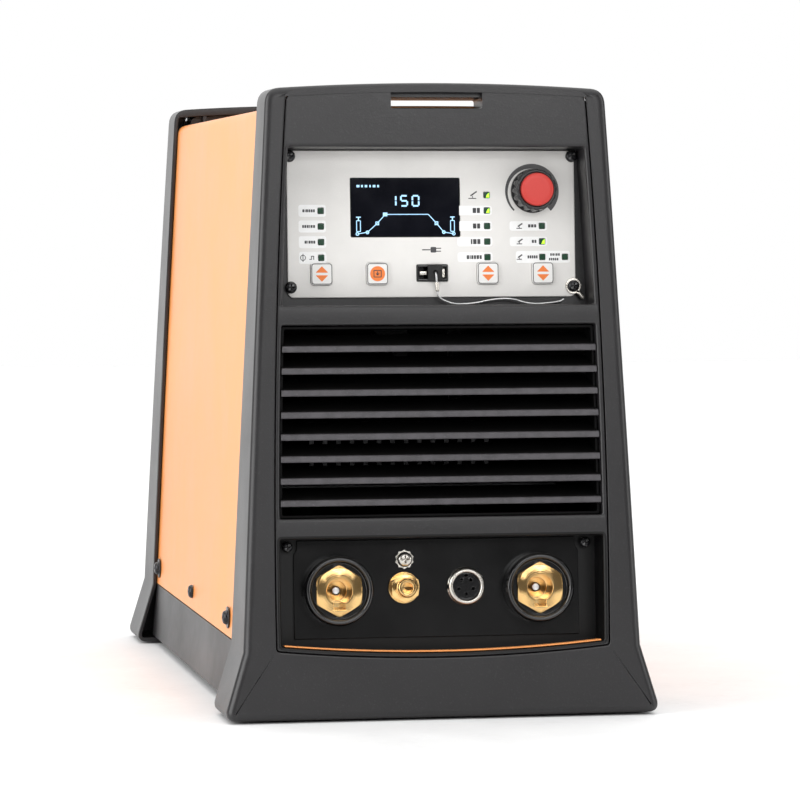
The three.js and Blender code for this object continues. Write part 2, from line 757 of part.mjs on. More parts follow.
// The control board with its display carrier, encoder body, key switches and the USB shell's solder block.
function controlBoardSolid() {
  const size = { width: 138, thickness: 1.6, low: 220, high: 286 };
  const holder = { left: -49, right: 21, low: 245, high: 281.5 };
  const panelBack = panel.face + panel.thickness;
  const joined = boardFront + 0.1;
  const board = block(
    0, (size.low + size.high) / 2, size.width, size.high - size.low, boardFront, boardFront + size.thickness,
  );
  const carrier = solid(box(holder.left, holder.right, panelBack + 0.7, joined, holder.low, holder.high));
  const { x: encoderX, height: encoderHeight, bodyWidth, bodyTall } = encoder;
  const encoderBody = block(encoderX, encoderHeight, bodyWidth, bodyTall, panelBack + 1.1, joined);
  const keyFront = panelBack + 1.5 + buttonRow.travel + gap + 0.1;
  const keySide = 6;
  const keys = Object.values(buttonColumns).map((x) => {
    return block(x, buttonRow.height, keySide, keySide, keyFront, joined);
  });
  return join(board, carrier, encoderBody, ...keys);
}

function knobSolid() {
  const { x, height, shaftRadius } = encoder;
  const { flutes, front, back, end, baseRadius, seatRadius, seatEnd } = knob;
  const ridge = new THREE.Shape();
  const steps = flutes * 3;
  for (let i = 0; i < steps; i += 1) {
    const angle = (2 * Math.PI * i) / steps;
    const radius = knob.radius + knob.flute * Math.cos(flutes * angle);
    ridge[i ? 'lineTo' : 'moveTo'](x + radius * Math.cos(angle), height + radius * Math.sin(angle));
  }
  ridge.closePath();
  const skirt = solid(slab(ridge, front, back, { bevel: 0.6, bevelSegments: 1 }));
  const collar = [
    [0, end],
    [baseRadius, end],
    [baseRadius, back],
    [baseRadius - 0.5, back - 0.6],
    [0, back - 0.6],
  ];
  const base = turned(collar, x, height, 22);
  const shaft = turned(rod(shaftRadius, end - 0.7, end + 2.9), x, height, 14);
  const seat = turned(rod(seatRadius, 0, seatEnd), x, height, 20);
  return cut(join(skirt, base, shaft), seat);
}

function knobCapSolid() {
  const outline = [[0, 7.1], [8.5, 7.1], [8.5, 4.2], [8, 3.6], [6.5, 3.35], [0, 3.2]];
  return turned(outline, encoder.x, encoder.height, 22);
}

function usbSocketSolid() {
  const { x, height, width, tall } = usb;
  const front = panel.face - 2;
  const outside = block(x, height, width, tall, panel.face - 0.8, panel.face + 7);
  const mouth = block(x, height, 14, 6, front, panel.face + 5.5);
  const plugRelief = block(usbPlug.x, height, usbPlug.width + 0.6, 12, front, panel.face + 0.6);
  return cut(outside, mouth, plugRelief);
}

function usbCapSolid() {
  const { x, width, tall, front } = usbPlug;
  const plateShape = roundedRectangle(x, usb.height, width, tall, 0.5);
  const plate = solid(slab(plateShape, front, panel.face - 0.2, { segments: 2 }));
  const stem = block(x, usb.height, 6, 5.2, front + 1, panel.face + 5);
  const eye = turned(rod(1.2, 0, front + 1.6), x, usb.height + 0.3, 10);
  return cut(join(plate, stem), eye);
}

// The tether of the dust plug: a thin wire from the plug's eye to the ring lug under the lower right
// panel screw.
// Each point is [x, depth behind the face, height along the face].
const tetherRadius = 0.5;
const tetherPath = [
  [1.1, 17.6, 229.5],
  [1.1, 16.1, 229.4],
  [1.15, 15.1, 228.5],
  [1.3, 14.9, 227],
  [1.5, 15.2, 224.5],
  [1.75, 15.5, 222],
  [1.9, 15.7, 219.6],
  [2.4, 15.8, 217.4],
  [3.9, 15.8, 215.8],
  [6.3, 15.8, 214.6],
  [9.2, 15.8, 213.6],
  [12.5, 15.8, 213.1],
  [17.6, 15.8, 213.2],
  [23.1, 15.8, 213.8],
  [28, 15.8, 214.8],
  [33.1, 15.8, 215.5],
  [38, 15.8, 215.7],
  [42.6, 15.8, 215.2],
  [47, 15.9, 213.9],
  [51, 16, 213.2],
  [55, 16.2, 213],
  [58.4, 16.4, 213.2],
  [61.6, 16.6, 213.5],
  [64.6, 16.8, 213.9],
  [67, 17, 214.4],
  [68.7, 17.1, 215.4],
];

function tetherSolid() {
  const curve = new THREE.CatmullRomCurve3(tetherPath.map((point) => new THREE.Vector3(...point)));
  return new THREE.ExtrudeGeometry(polygonShape(8, tetherRadius, 0, 0), {
    extrudePath: curve,
    steps: 34,
    bevelEnabled: false,
  });
}

function ringLugSolid() {
  const { x, low } = panelScrew;
  const seat = panel.face - gap;
  const ring = turned([[2, seat], [4.1, seat], [4.1, seat - 0.7], [2, seat - 0.7], [2, seat]], x, low, 18);
  const barrel = solid(box(-1.4, 1.4, seat - 2.2, seat, 3.6, 8)).rotate([0, -142, 0]).translate([x, 0, low]);
  return join(ring, barrel);
}

// ---------- connector panel and its sockets ----------

function connectorPanelSolid() {
  const { halfWidth, low, high, face, thickness } = connectorPanel;
  const outline = roundedRectangle(0, (low + high) / 2, 2 * halfWidth, high - low, 1);
  const plate = solid(slab(outline, face, face + thickness, { segments: 2 }));
  const hole = (radius, fitting, sides, side = 1) => {
    return turned(rod(radius, 0, through), side * fitting.x, fitting.height, sides);
  };
  const holes = [
    hole(gasOutlet.bodyRadius + 0.4, gasOutlet, 14),
    hole(remoteSocket.bodyRadius + gap, remoteSocket, 18),
    hole(groundScrew.holeRadius, groundScrew, 10),
    ...[-1, 1].map((side) => hole(weldSocket.bodyRadius + 0.4, weldSocket, 22, side)),
    ...[-1, 1].map((side) => hole(connectorScrew.notchRadius, connectorScrew, 16, side)),
  ];
  return cut(plate, ...holes);
}

function rod(radius, start, end) {
  return [[0, start], [radius, start], [radius, end], [0, end]];
}

function weldSocketFlange(x) {
  const { height, flangeRadius, bodyRadius, bodyEnd, front } = weldSocket;
  const seat = connectorPanel.face - gap;
  const profile = [
    [0, front + 3.2],
    [14.6, front + 3.2],
    [15.1, front + 0.8],
    [16.2, front],
    [17.2, front + 0.5],
    [flangeRadius, front + 2.4],
    [flangeRadius, seat],
    [bodyRadius, seat],
    [bodyRadius, bodyEnd],
    [0, bodyEnd],
  ];
  const hexShape = polygonShape(6, weldSocketHexRadius + gap, x, height, Math.PI / 2);
  const hexHole = solid(slab(hexShape, 0, bodyEnd + 16));
  return cut(turned(profile, x, height, 26), hexHole);
}

const weldSocketHexRadius = weldSocket.hexWidth / Math.sqrt(3);

function weldSocketInsert(x) {
  const { height, front, boreRadius, boreEnd, bodyEnd, keyWidth, keyDepth } = weldSocket;
  const pinRadius = 3;
  const pinFront = 22;
  const pinProfile = [
    [0, pinFront],
    [pinRadius - 0.6, pinFront],
    [pinRadius, pinFront + 1],
    [pinRadius, boreEnd + 1],
    [0, boreEnd + 1],
  ];
  const hexShape = polygonShape(6, weldSocketHexRadius, x, height, Math.PI / 2);
  const hex = solid(slab(hexShape, front + 1.4, bodyEnd + 2));
  const bore = turned(rod(boreRadius, 0, boreEnd), x, height, 20);
  const keyway = solid(
    box(x - keyWidth / 2, x + keyWidth / 2, 0, boreEnd, height - boreRadius - keyDepth, height),
  );
  const stud = turned(rod(5, bodyEnd + 1.5, bodyEnd + 18), x, height, 14);
  const pin = turned(pinProfile, x, height, 12);
  return join(cut(hex, bore, keyway), stud, pin);
}

function gasOutletSolid() {
  const { x, height, bodyRadius, boreRadius, hexRadius } = gasOutlet;
  const seat = connectorPanel.face - gap;
  const washer = turned(rod(hexRadius + 0.2, seat - 1.2, seat), x, height, 20);
  const hex = solid(slab(polygonShape(6, hexRadius, x, height, Math.PI / 6), seat - 5.6, seat - 1.1));
  const taper = [[0, seat - 5], [5.2, seat - 5], [4.9, seat - 11.4], [4.2, seat - 12], [0, seat - 12]];
  const nipple = turned(taper, x, height, 18);
  const tail = turned(rod(bodyRadius, seat - 1, 34), x, height, 14);
  const bore = turned(rod(boreRadius, 0, through), x, height, 14);
  return cut(join(washer, hex, nipple, tail), bore);
}

function remoteSocketShell() {
  const { x, height, bodyRadius, boreRadius } = remoteSocket;
  const seat = connectorPanel.face - gap;
  const end = 30;
  const profile = [
    [boreRadius, end],
    [bodyRadius, end],
    [bodyRadius, seat],
    [bodyRadius + 2, seat],
    [bodyRadius + 2, seat - 1.8],
    [bodyRadius + 1.2, seat - 2.6],
    [bodyRadius + 1.2, seat - 3.6],
    [bodyRadius + 0.4, seat - 4.2],
    [boreRadius, seat - 4.2],
    [boreRadius, end],
  ];
  return turned(profile, x, height, 24);
}

function remoteSocketCore() {
  const { x, height, boreRadius, pins: count, pinCircle } = remoteSocket;
  const face = connectorPanel.face + 0.6;
  const core = turned(rod(boreRadius - 0.5, face, 29), x, height, 20);
  const pins = Array.from({ length: count }, (_, i) => {
    const angle = Math.PI / 2 + ((2 * i + 1) * Math.PI) / count;
    const pin = rod(0.75, 0, face + 4);
    return turned(pin, x + pinCircle * Math.cos(angle), height + pinCircle * Math.sin(angle), 8);
  });
  const key = solid(box(x - 1, x + 1, 0, face + 4, height + 5.4, height + 8));
  return cut(core, ...pins, key);
}

// ---------- inside ----------

const shelf = { halfWidth: 80, top: 114, thickness: 1.5, low: 6.5, halfLength: 125 };

// Folded steel bracket that stands on the tray, carries the heat sink and has the power board under it.
function innerBracketSolid() {
  const { halfWidth, top, thickness, low } = shelf;
  const right = [
    [halfWidth + 10, low],
    [halfWidth + 10, low + thickness],
    [halfWidth, low + thickness],
    [halfWidth, top],
  ];
  const inner = [
    [halfWidth - thickness, top - thickness],
    [halfWidth - thickness, low],
  ];
  const shape = new THREE.Shape();
  right.forEach((point, i) => shape[i ? 'lineTo' : 'moveTo'](...point));
  [...right].reverse().forEach(([x, height]) => shape.lineTo(-x, height));
  [...inner].reverse().forEach(([x, height]) => shape.lineTo(-x, height));
  inner.forEach((point) => shape.lineTo(...point));
  shape.closePath();
  return slab(shape, -shelf.halfLength, shelf.halfLength);
}

function heatSinkSolid() {
  const length = 190;
  const shape = new THREE.Shape();
  const fins = 14;
  const pitch = 7.4;
  const finThickness = 2.4;
  const low = shelf.top + gap;
  const high = low + 32;
  const base = 6;
  shape.moveTo(0, low);
  for (let i = 0; i < fins; i += 1) {
    const start = i * pitch;
    shape.lineTo(start, high);
    shape.lineTo(start + finThickness, high);
    if (i < fins - 1) {
      shape.lineTo(start + finThickness, low + base);
      shape.lineTo(start + pitch, low + base);
    }
  }
  shape.lineTo((fins - 1) * pitch + finThickness, low);
  shape.closePath();
  const geometry = slab(shape, -95, -95 + length);
  return geometry.translate(-((fins - 1) * pitch + finThickness) / 2, 0, 0);
}

const powerBoard = { halfWidth: 70, halfLength: 110, low: 108, thickness: 2 };

function uprightCylinder(radius, tall, x, y, middle, sides = 16) {
  return new THREE.CylinderGeometry(radius, radius, tall, sides).rotateX(Math.PI / 2).translate(x, y, middle);
}

function powerBoardSolid() {
  const { halfWidth, halfLength: halfBoard, low, thickness } = powerBoard;
  const joined = low + 0.1;
  const can = { radius: 15, tall: 46, x: -48, rows: [-48, 0, 48] };
  const board = solid(box(-halfWidth, halfWidth, -halfBoard, halfBoard, low, low + thickness));
  const capacitors = can.rows.map((y) => {
    return solid(uprightCylinder(can.radius, can.tall, can.x, y, low + 0.2 - can.tall / 2));
  });
  const rectifier = solid(box(10, 44, -80, -34, low - 12, joined));
  const relay = solid(box(12, 40, 40, 72, low - 18, joined));
  return join(board, ...capacitors, rectifier, relay);
}

const transformer = { x: 40, y: -50, low: 8, width: 46, depth: 60, tall: 52, coil: 28 };
const choke = { radius: 22, section: 11, x: 40, y: 60, height: 45 };
const valve = { x: -55, y: 161, side: 22, low: 24, coilRadius: 10, coilTall: 26 };

// A wound part: a closed ferrite frame with a coil former about its middle leg.
function transformerSolid() {
  const { x, y, low, width, depth, tall, coil } = transformer;
  const middle = low + tall / 2;
  const core = block(x, middle, width, tall, y - depth / 2, y + depth / 2);
  return join(core, solid(uprightCylinder(coil, tall * 0.62, x, y, middle, 20)));
}

function chokeSolid() {
  const { radius, section, x, y, height } = choke;
  return new THREE.TorusGeometry(radius, section, 8, 16).rotateY(Math.PI / 2).translate(x, y, height);
}

function gasValveSolid() {
  const { x, y, side, low, coilRadius, coilTall } = valve;
  const body = block(x, low + side / 2, side, side, y - side / 2, y + side / 2);
  const coilMiddle = low + side - 0.5 + coilTall / 2;
  return join(body, solid(uprightCylinder(coilRadius, coilTall, x, y, coilMiddle)));
}

const fanFace = halfLength - 52;

function fanHousingSolid() {
  const { radius, centre, depth } = fan;
  const side = radius + 3;
  const plate = solid(box(-side, side, fanFace - depth, fanFace, centre - side, centre + side));
  const tunnel = turned(rod(radius, -400, 400), 0, centre, 32);
  const hub = turned(rod(fan.hubRadius, fanFace - 4, fanFace), 0, centre, 20);
  const arms = [0, 1, 2, 3].map((i) => {
    const arm = solid(box(-2, 2, fanFace - 2.5, fanFace, 0, radius + 1)).rotate([0, 45 + 90 * i, 0]);
    return arm.translate([0, 0, centre]);
  });
  return join(cut(plate, tunnel), hub, ...arms);
}

function fanRotorSolid() {
  const { radius, centre, depth } = fan;
  const back = fanFace - 4 - gap - 0.2;
  const front = fanFace - depth + 1;
  const { rotorHub, hubRadius, blades: count, pitch } = fan;
  const middle = (front + back) / 2;
  const profile = [[0, front], [rotorHub - 1.5, front], [rotorHub, front + 1.5], [rotorHub, back], [0, back]];
  const hub = turned(profile, 0, centre, 24);
  const blades = Array.from({ length: count }, (_, i) => {
    const blade = solid(box(-1.1, 1.1, front + 1, back - 1, hubRadius, radius - 1.5));
    const pitched = blade.translate([0, -middle, 0]).rotate([0, 0, pitch]);
    const trimmed = pitched.intersect(bladeEnvelope(front, back, radius)).translate([0, middle, 0]);
    return trimmed.rotate([0, (360 / count) * i, 0]).translate([0, 0, centre]);
  });
  return join(hub, ...blades);
}

function bladeEnvelope(front, back, radius) {
  const half = (back - front) / 2;
  return solid(box(-radius, radius, -half + 0.5, half - 0.5, 0, radius));
}

// ---------- back of the machine ----------

const rearWall = insert.ledgeDepth;
const mainsSwitch = { x: -46, height: 252, width: 30, tall: 22, bezel: 2, wall: 2.5, floor: 12, depth: 22 };
const cableGland = { x: 46, height: 66.5, hexRadius: 13.6, threadRadius: 10, boreRadius: 6 };
const gasInlet = { x: -46, height: 66.5, hexRadius: 8.4, threadRadius: 5, boreRadius: 2.4 };

function switchBodySolid() {
  const { x, height, width, tall, bezel, wall, floor, depth } = mainsSwitch;
  const rimShape = roundedRectangle(x, height, width + 2 * bezel, tall + 2 * bezel, 1.5);
  const rim = solid(slab(rimShape, rearWall - gap - bezel, rearWall - gap, { segments: 3 }));
  const body = block(x, height, width, tall, rearWall - gap - 0.1, rearWall + depth);
  const mouth = block(x, height, width - 2 * wall, tall - 2 * bezel, 0, rearWall + floor);
  return cut(join(rim, body), mouth);
}

// The rocker: two faces that meet in a shallow V, on a hub about its hinge line.
const rockerPivotDepth = rearWall + 3.5;
const rockerSwing = 10;

function rockerSolid() {
  const { x, height, width, tall } = mainsSwitch;
  const half = tall / 2 - 3.6;
  const shape = new THREE.Shape();
  shape.moveTo(-2.6, 0);
  shape.lineTo(-5.2, half - 0.6);
  shape.lineTo(-3.6, half);
  shape.lineTo(3.2, half - 2);
  shape.lineTo(3.2, -half + 2);
  shape.lineTo(-3.6, -half);
  shape.lineTo(-5.2, -half + 0.6);
  shape.closePath();
  const rockerWidth = width - 6;
  const geometry = new THREE.ExtrudeGeometry(shape, { depth: rockerWidth, bevelEnabled: false });
  geometry.rotateX(Math.PI / 2);
  geometry.rotateZ(Math.PI / 2);
  geometry.translate(x - rockerWidth / 2, 0, 0);
  return solid(geometry).rotate([-rockerSwing, 0, 0]).translate([0, rockerPivotDepth, height]);
}

function cableGlandSolid() {
  const { x, height, hexRadius, threadRadius, boreRadius } = cableGland;
  const seat = rearWall - gap;
  const nut = solid(slab(polygonShape(6, hexRadius, x, height), seat - 5, seat));
  const outline = [
    [0, seat - 4.9],
    [hexRadius - 2, seat - 4.9],
    [hexRadius - 2.2, seat - 12],
    [hexRadius - 4, seat - 15],
    [0, seat - 15],
  ];
  const dome = turned(outline, x, height, 22);
  const thread = turned(rod(threadRadius, seat - 0.1, seat + 12), x, height, 20);
  const bore = turned(rod(boreRadius, 0, 60), x, height, 18);
  return cut(join(nut, dome, thread), bore);
}

function gasInletSolid() {
  const { x, height, hexRadius, threadRadius, boreRadius } = gasInlet;
  const seat = rearWall - gap;
  const nut = solid(slab(polygonShape(6, hexRadius, x, height), seat - 4.5, seat));
  const barb = turned(
    [
      [0, seat - 4.4],
      [4.4, seat - 4.4],
      [4.4, seat - 6],
      [5, seat - 7.5],
      [4, seat - 10],
      [5, seat - 10.2],
      [3.9, seat - 13],
      [4.6, seat - 13.2],
      [3.6, seat - 16],
      [0, seat - 16],
    ],
    x,
    height,
    18,
  );
  const thread = turned(rod(threadRadius, seat - 0.1, seat + 12), x, height, 14);
  return cut(join(nut, barb, thread), turned(rod(boreRadius, 0, 60), x, height, 12));
}

// ---------- assembly ----------

const machine = new THREE.Group();

function place(name, slotName, shape, parent = machine) {
  const geometry = shape.attributes ? shape : geometryOf(shape);
  const mesh = new THREE.Mesh(geometry, standardMaterial(slotName));
  mesh.name = name;
  parent.add(mesh);
  return mesh;
}

// Groups whose +Y runs into the machine, starting at the front or at the back end plane.
function endGroup(turn) {
  const end = new THREE.Group();
  end.rotation.z = turn;
  const upright = new THREE.Group();
  upright.position.y = -halfLength;
  const face = new THREE.Group();
  face.rotation.x = -rakeAngle;
  upright.add(face);
  end.add(upright);
  machine.add(end);
  return { upright, face };
}

const frontEnd = endGroup(0);
const rearEnd = endGroup(Math.PI);

place('front_frame', 'frame_plastic', endFrameSolid(), frontEnd.upright);
place('rear_frame', 'frame_plastic', ribbedFrameSolid(), rearEnd.upright);
place('front_insert', 'frame_plastic', frontInsertSolid(), frontEnd.face);
place('rear_insert', 'frame_plastic', rearInsertSolid(), rearEnd.face);
place('front_grille', 'grille_plastic', grilleSolid(), frontEnd.face);
place('rear_grille', 'grille_plastic', grilleSolid(), rearEnd.face);
place('lower_trim_strip', 'orange_paint', trimStripSolid(), frontEnd.face);

place('cover', 'orange_paint', coverSolid());
place('base_tray', 'tray_paint', traySolid());
[-1, 1].forEach((side) => {
  const sideName = side < 0 ? 'left' : 'right';
  coverScrewRows.forEach((y, i) => {
    place(`cover_screw_${sideName}_${i + 1}`, 'screw_black', coverScrewSolid(side, y, i !== 1));
  });
  [-1, 1].forEach((end) => {
    const mesh = place(`foot_${end < 0 ? 'front' : 'rear'}_${sideName}`, 'rubber', footSolid());
    mesh.position.set(side * foot.x, end * foot.y, 0);
  });
});

place('control_panel', 'panel_paint', controlPanelSolid(), frontEnd.face);
place('display_window', 'display_glass', displaySolid(), frontEnd.face);
place('control_board', 'board_green', controlBoardSolid(), frontEnd.face);
Object.entries(buttonColumns).forEach(([name, x]) => {
  place(name, 'button_plastic', buttonSolid(x), frontEnd.face);
});
place('light_guide', 'lens_plastic', lightGuide(), frontEnd.face);
place('encoder_knob', 'knob_black', knobSolid(), frontEnd.face);
place('knob_cap', 'knob_red', knobCapSolid(), frontEnd.face);
place('usb_socket', 'socket_black', usbSocketSolid(), frontEnd.face);
place('usb_dust_plug', 'rubber', usbCapSolid(), frontEnd.face);
place('plug_tether', 'nickel', tetherSolid(), frontEnd.face);
place('tether_lug', 'nickel', ringLugSolid(), frontEnd.face);
screwPlaces().forEach(([x, height], i) => {
  const seat = i === 3 ? panel.face - gap - 1 : panel.face - gap;
  const screw = panScrewSolid(x, height, seat, panelScrew.headRadius, insert.ledgeDepth - gap);
  place(`panel_screw_${i + 1}`, 'screw_black', screw, frontEnd.face);
});

place('connector_panel', 'black_paint', connectorPanelSolid(), frontEnd.face);
[-1, 1].forEach((side) => {
  const sideName = side < 0 ? 'left' : 'right';
  const seat = insert.ledgeDepth - gap;
  const { x, height, headRadius, shankRadius } = connectorScrew;
  const head = panScrewSolid(side * x, height, seat - 3, headRadius, seat, shankRadius);
  place(`connector_screw_${sideName}`, 'screw_black', head, frontEnd.face);
  const socketX = side * weldSocket.x;
  place(`weld_socket_${sideName}_flange`, 'socket_black', weldSocketFlange(socketX), frontEnd.face);
  place(`weld_socket_${sideName}_insert`, 'brass', weldSocketInsert(socketX), frontEnd.face);
});
place('gas_outlet', 'brass', gasOutletSolid(), frontEnd.face);
place('remote_socket_shell', 'nickel', remoteSocketShell(), frontEnd.face);
place('remote_socket_core', 'socket_black', remoteSocketCore(), frontEnd.face);
place('ground_screw', 'nickel', groundScrewSolid(), frontEnd.face);

place('inner_bracket', 'aluminium', innerBracketSolid());
place('heat_sink', 'aluminium', heatSinkSolid());
place('power_board', 'board_green', powerBoardSolid());
place('main_transformer', 'copper_winding', transformerSolid());
place('output_choke', 'copper_winding', chokeSolid());
place('gas_valve', 'brass', gasValveSolid());
place('fan_housing', 'black_paint', fanHousingSolid());
place('fan_rotor', 'grille_plastic', fanRotorSolid());

place('mains_switch_body', 'socket_black', switchBodySolid(), rearEnd.face);
place('mains_switch_rocker', 'knob_red', rockerSolid(), rearEnd.face);
place('cable_gland', 'rubber', cableGlandSolid(), rearEnd.face);
place('gas_inlet', 'brass', gasInletSolid(), rearEnd.face);

export default machine;
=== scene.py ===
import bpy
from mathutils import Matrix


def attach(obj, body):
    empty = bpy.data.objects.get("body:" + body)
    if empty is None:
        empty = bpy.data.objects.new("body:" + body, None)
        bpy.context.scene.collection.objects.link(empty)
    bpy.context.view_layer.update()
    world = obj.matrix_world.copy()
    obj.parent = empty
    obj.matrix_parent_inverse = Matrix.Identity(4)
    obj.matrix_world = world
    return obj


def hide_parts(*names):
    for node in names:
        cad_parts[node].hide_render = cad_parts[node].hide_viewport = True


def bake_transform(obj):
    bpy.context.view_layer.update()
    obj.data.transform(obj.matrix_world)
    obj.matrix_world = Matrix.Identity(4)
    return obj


bl_info = {
    "name": "TIG welding machine",
    "version": (1, 0, 0),
    "blender": (4, 5, 0),
    "location": "View3D > Sidebar > Welder",
    "description": "Builds the visible pieces of a portable TIG welding machine around its packed CAD frame",
    "category": "Object",
}

import math

import bmesh
import bpy
from mathutils import Matrix, Vector

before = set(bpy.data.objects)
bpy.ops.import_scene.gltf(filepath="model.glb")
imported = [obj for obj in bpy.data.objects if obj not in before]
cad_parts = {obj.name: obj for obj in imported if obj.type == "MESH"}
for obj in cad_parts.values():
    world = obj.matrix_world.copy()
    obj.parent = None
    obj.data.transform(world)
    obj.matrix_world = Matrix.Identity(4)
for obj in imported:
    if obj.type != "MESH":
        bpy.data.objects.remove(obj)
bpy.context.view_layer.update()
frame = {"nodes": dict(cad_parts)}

# Sizes are in millimetres up to the moment a piece is finished, and in metres from there on.
# A face place is (x to the right, depth behind the sloping face, height along the face).

MM = 0.001
END_PLANE = 227.5
RAKE = 0.0653
LEAN = math.atan(RAKE)

# End frame
BOTTOM = 1.2
FOOT_HALF = 112.0
FOOT_HEIGHT = 7.0
FOOT_ROUND = 5.0
KINK_HALF = 103.2
KINK_HEIGHT = 36.2
TOP_HALF = 88.2
CORNER_HEIGHT = 321.9
CORNER_ROUND = 7.5
ARCH_TOP = 325.0
SIDE_BOW = 0.47
INNER_EDGE = 51.0
FACE_THICKNESS = 4.0
WALL = 2.3
TOP_WALL = 4.4

# Inner moulding
SET_BACK = 0.4
MOULDING_DEPTH = 22.8
LEDGE = 20.3
RIM = 2.5
INSERT_BOTTOM = 36.8
INSERT_BOTTOM_HALF = 86.2
INSERT_SAG = 4.5
INSERT_TOP_HALF = 77.7
INSERT_CORNER = 320.3
INSERT_TOP = 322.9
INSERT_BOW = 2.85
INSERT_ROUND = 4.0
FLOOR_RIM = 2.3
PANEL_WINDOW = (212.0, 293.0)
GRILLE_WINDOW = (103.7, 201.9)
CONNECTOR_TOP = 93.2
SLOT_HALF = 23.8
SLOT_HEIGHTS = (312.6, 318.8)
SLOT_POCKET = 4.0

# Cover and tray
COVER_INSET = 2.8
COVER_THICKNESS = 1.3
COVER_ROOF = 312.7
COVER_CROWN = 1.2
COVER_ROUND = 6.0
COVER_BOTTOM = 36.6
TRAY_BOTTOM = 4.6
TRAY_THICKNESS = 1.5
TRAY_JOGGLE = 1.9
TRAY_FLANGE_TOP = 58.0

# Lamps, in the order of their columns, and those that are lit
LAMP_SIDE = 2.9
LAMP_TOP = 269.6
LAMP_STEP = 8.05
LAMP_PLACES = (
    [(-58, row) for row in (1, 2, 3, 4)]
    + [(29, row) for row in (0, 1, 2, 3, 4)]
    + [(58, row) for row in (2, 3, 4)]
    + [(70, 4)]
)
LIT_LAMPS = {(29, 0), (29, 1), (58, 3)}

# The wire tether of the dust plug, from the plug's eye to the ring lug
TETHER_RADIUS = 0.5
TETHER_PATH = [
    (1.1, 17.6, 229.5),
    (1.1, 16.1, 229.4),
    (1.15, 15.1, 228.5),
    (1.3, 14.9, 227),
    (1.5, 15.2, 224.5),
    (1.75, 15.5, 222),
    (1.9, 15.7, 219.6),
    (2.4, 15.8, 217.4),
    (3.9, 15.8, 215.8),
    (6.3, 15.8, 214.6),
    (9.2, 15.8, 213.6),
    (12.5, 15.8, 213.1),
    (17.6, 15.8, 213.2),
    (23.1, 15.8, 213.8),
    (28, 15.8, 214.8),
    (33.1, 15.8, 215.5),
    (38, 15.8, 215.7),
    (42.6, 15.8, 215.2),
    (47, 15.9, 213.9),
    (51, 16, 213.2),
    (55, 16.2, 213),
    (58.4, 16.4, 213.2),
    (61.6, 16.6, 213.5),
    (64.6, 16.8, 213.9),
    (67, 17, 214.4),
    (68.7, 17.1, 215.4),
]

FRONT = Matrix.Translation((0, -END_PLANE, 0)) @ Matrix.Rotation(-LEAN, 4, "X")
HALF_TURN = Matrix.Rotation(math.pi, 4, "Z")
BACK = HALF_TURN @ FRONT
UPRIGHT_FRONT = Matrix.Translation((0, -END_PLANE, 0))
UPRIGHT_BACK = HALF_TURN @ UPRIGHT_FRONT
WORLD = Matrix.Identity(4)


# ---------- places taken from the CAD nodes ----------


def extent(node, place=WORLD):
    """Lowest and highest corner of a CAD node in a place's own axes, in millimetres."""
    inverse = place.inverted()
    points = [inverse @ (v.co / MM) for v in frame["nodes"][node].data.vertices]
    low = Vector([min(p[i] for p in points) for i in range(3)])
    high = Vector([max(p[i] for p in points) for i in range(3)])
    return low, high


def middle(node, place=WORLD):
    low, high = extent(node, place)
    return (low + high) / 2


# ---------- outlines, as loops of (x, height) points that run anticlockwise seen from the front ----------


def line(start, end, steps=1):
    return [
        (start[0] + (end[0] - start[0]) * i / steps, start[1] + (end[1] - start[1]) * i / steps)
        for i in range(steps)
    ]


def curve(start, control, end, steps):
    """A quadratic curve without its last point."""
    points = []
    for i in range(steps):
        t = i / steps
        a, b, c = (1 - t) ** 2, 2 * t * (1 - t), t * t
        points.append(tuple(a * start[k] + b * control[k] + c * end[k] for k in range(2)))
    return points


def mirrored(right_half):
    """A loop from its right half, which runs from the bottom centre to the top centre."""
    return right_half + [(-x, z) for x, z in reversed(right_half[1:-1])]


def circle(radius, steps, x=0.0, z=0.0):
    turns = [2 * math.pi * i / steps for i in range(steps)]
    return [(x + radius * math.cos(t), z + radius * math.sin(t)) for t in turns]


def rounded(corners, radius, steps=4):
    """A loop with each corner turned into an arc."""
    points = []
    for i, corner in enumerate(corners):
        here = Vector(corner)
        before = Vector(corners[i - 1]) - here
        after = Vector(corners[(i + 1) % len(corners)]) - here
        angle = before.angle(after)
        reach = radius / math.tan(angle / 2)
        start = here + before.normalized() * reach
        end = here + after.normalized() * reach
        centre = here + (before.normalized() + after.normalized()).normalized() * radius / math.sin(angle / 2)
        first = start - centre
        last = end - centre
        swing = first.angle_signed(last)
        for k in range(steps + 1):
            turn = -swing * k / steps
            spun = Vector(
                (
                    first.x * math.cos(turn) - first.y * math.sin(turn),
                    first.x * math.sin(turn) + first.y * math.cos(turn),
                )
            )
            points.append(tuple(centre + spun))
    return points


def rectangle(width, height, radius=0.0, x=0.0, z=0.0, steps=4):
    a, b = width / 2, height / 2
    corners = [(x - a, z - b), (x + a, z - b), (x + a, z + b), (x - a, z + b)]
    return rounded(corners, radius, steps) if radius else corners


def polar(radius, angle, x=0.0, z=0.0):
    """A point on a circle about (x, z)."""
    return (x + radius * math.cos(angle), z + radius * math.sin(angle))


def regular(sides, radius, turn=0.0, corner=0.0, steps=3):
    corners = [polar(radius, turn + 2 * math.pi * i / sides) for i in range(sides)]
    return rounded(corners, corner, steps) if corner else corners


def inset(loop, distance):
    """The loop moved inwards by a distance, or outwards if it is negative."""
    moved = []
    for i, here in enumerate(loop):
        before = (Vector(here) - Vector(loop[i - 1])).normalized()
        after = (Vector(loop[(i + 1) % len(loop)]) - Vector(here)).normalized()
        side_a = Vector((-before.y, before.x))
        side_b = Vector((-after.y, after.x))
        spread = max(1 + side_a.dot(side_b), 0.4)
        moved.append(tuple(Vector(here) + (side_a + side_b) * (distance / spread)))
    return moved


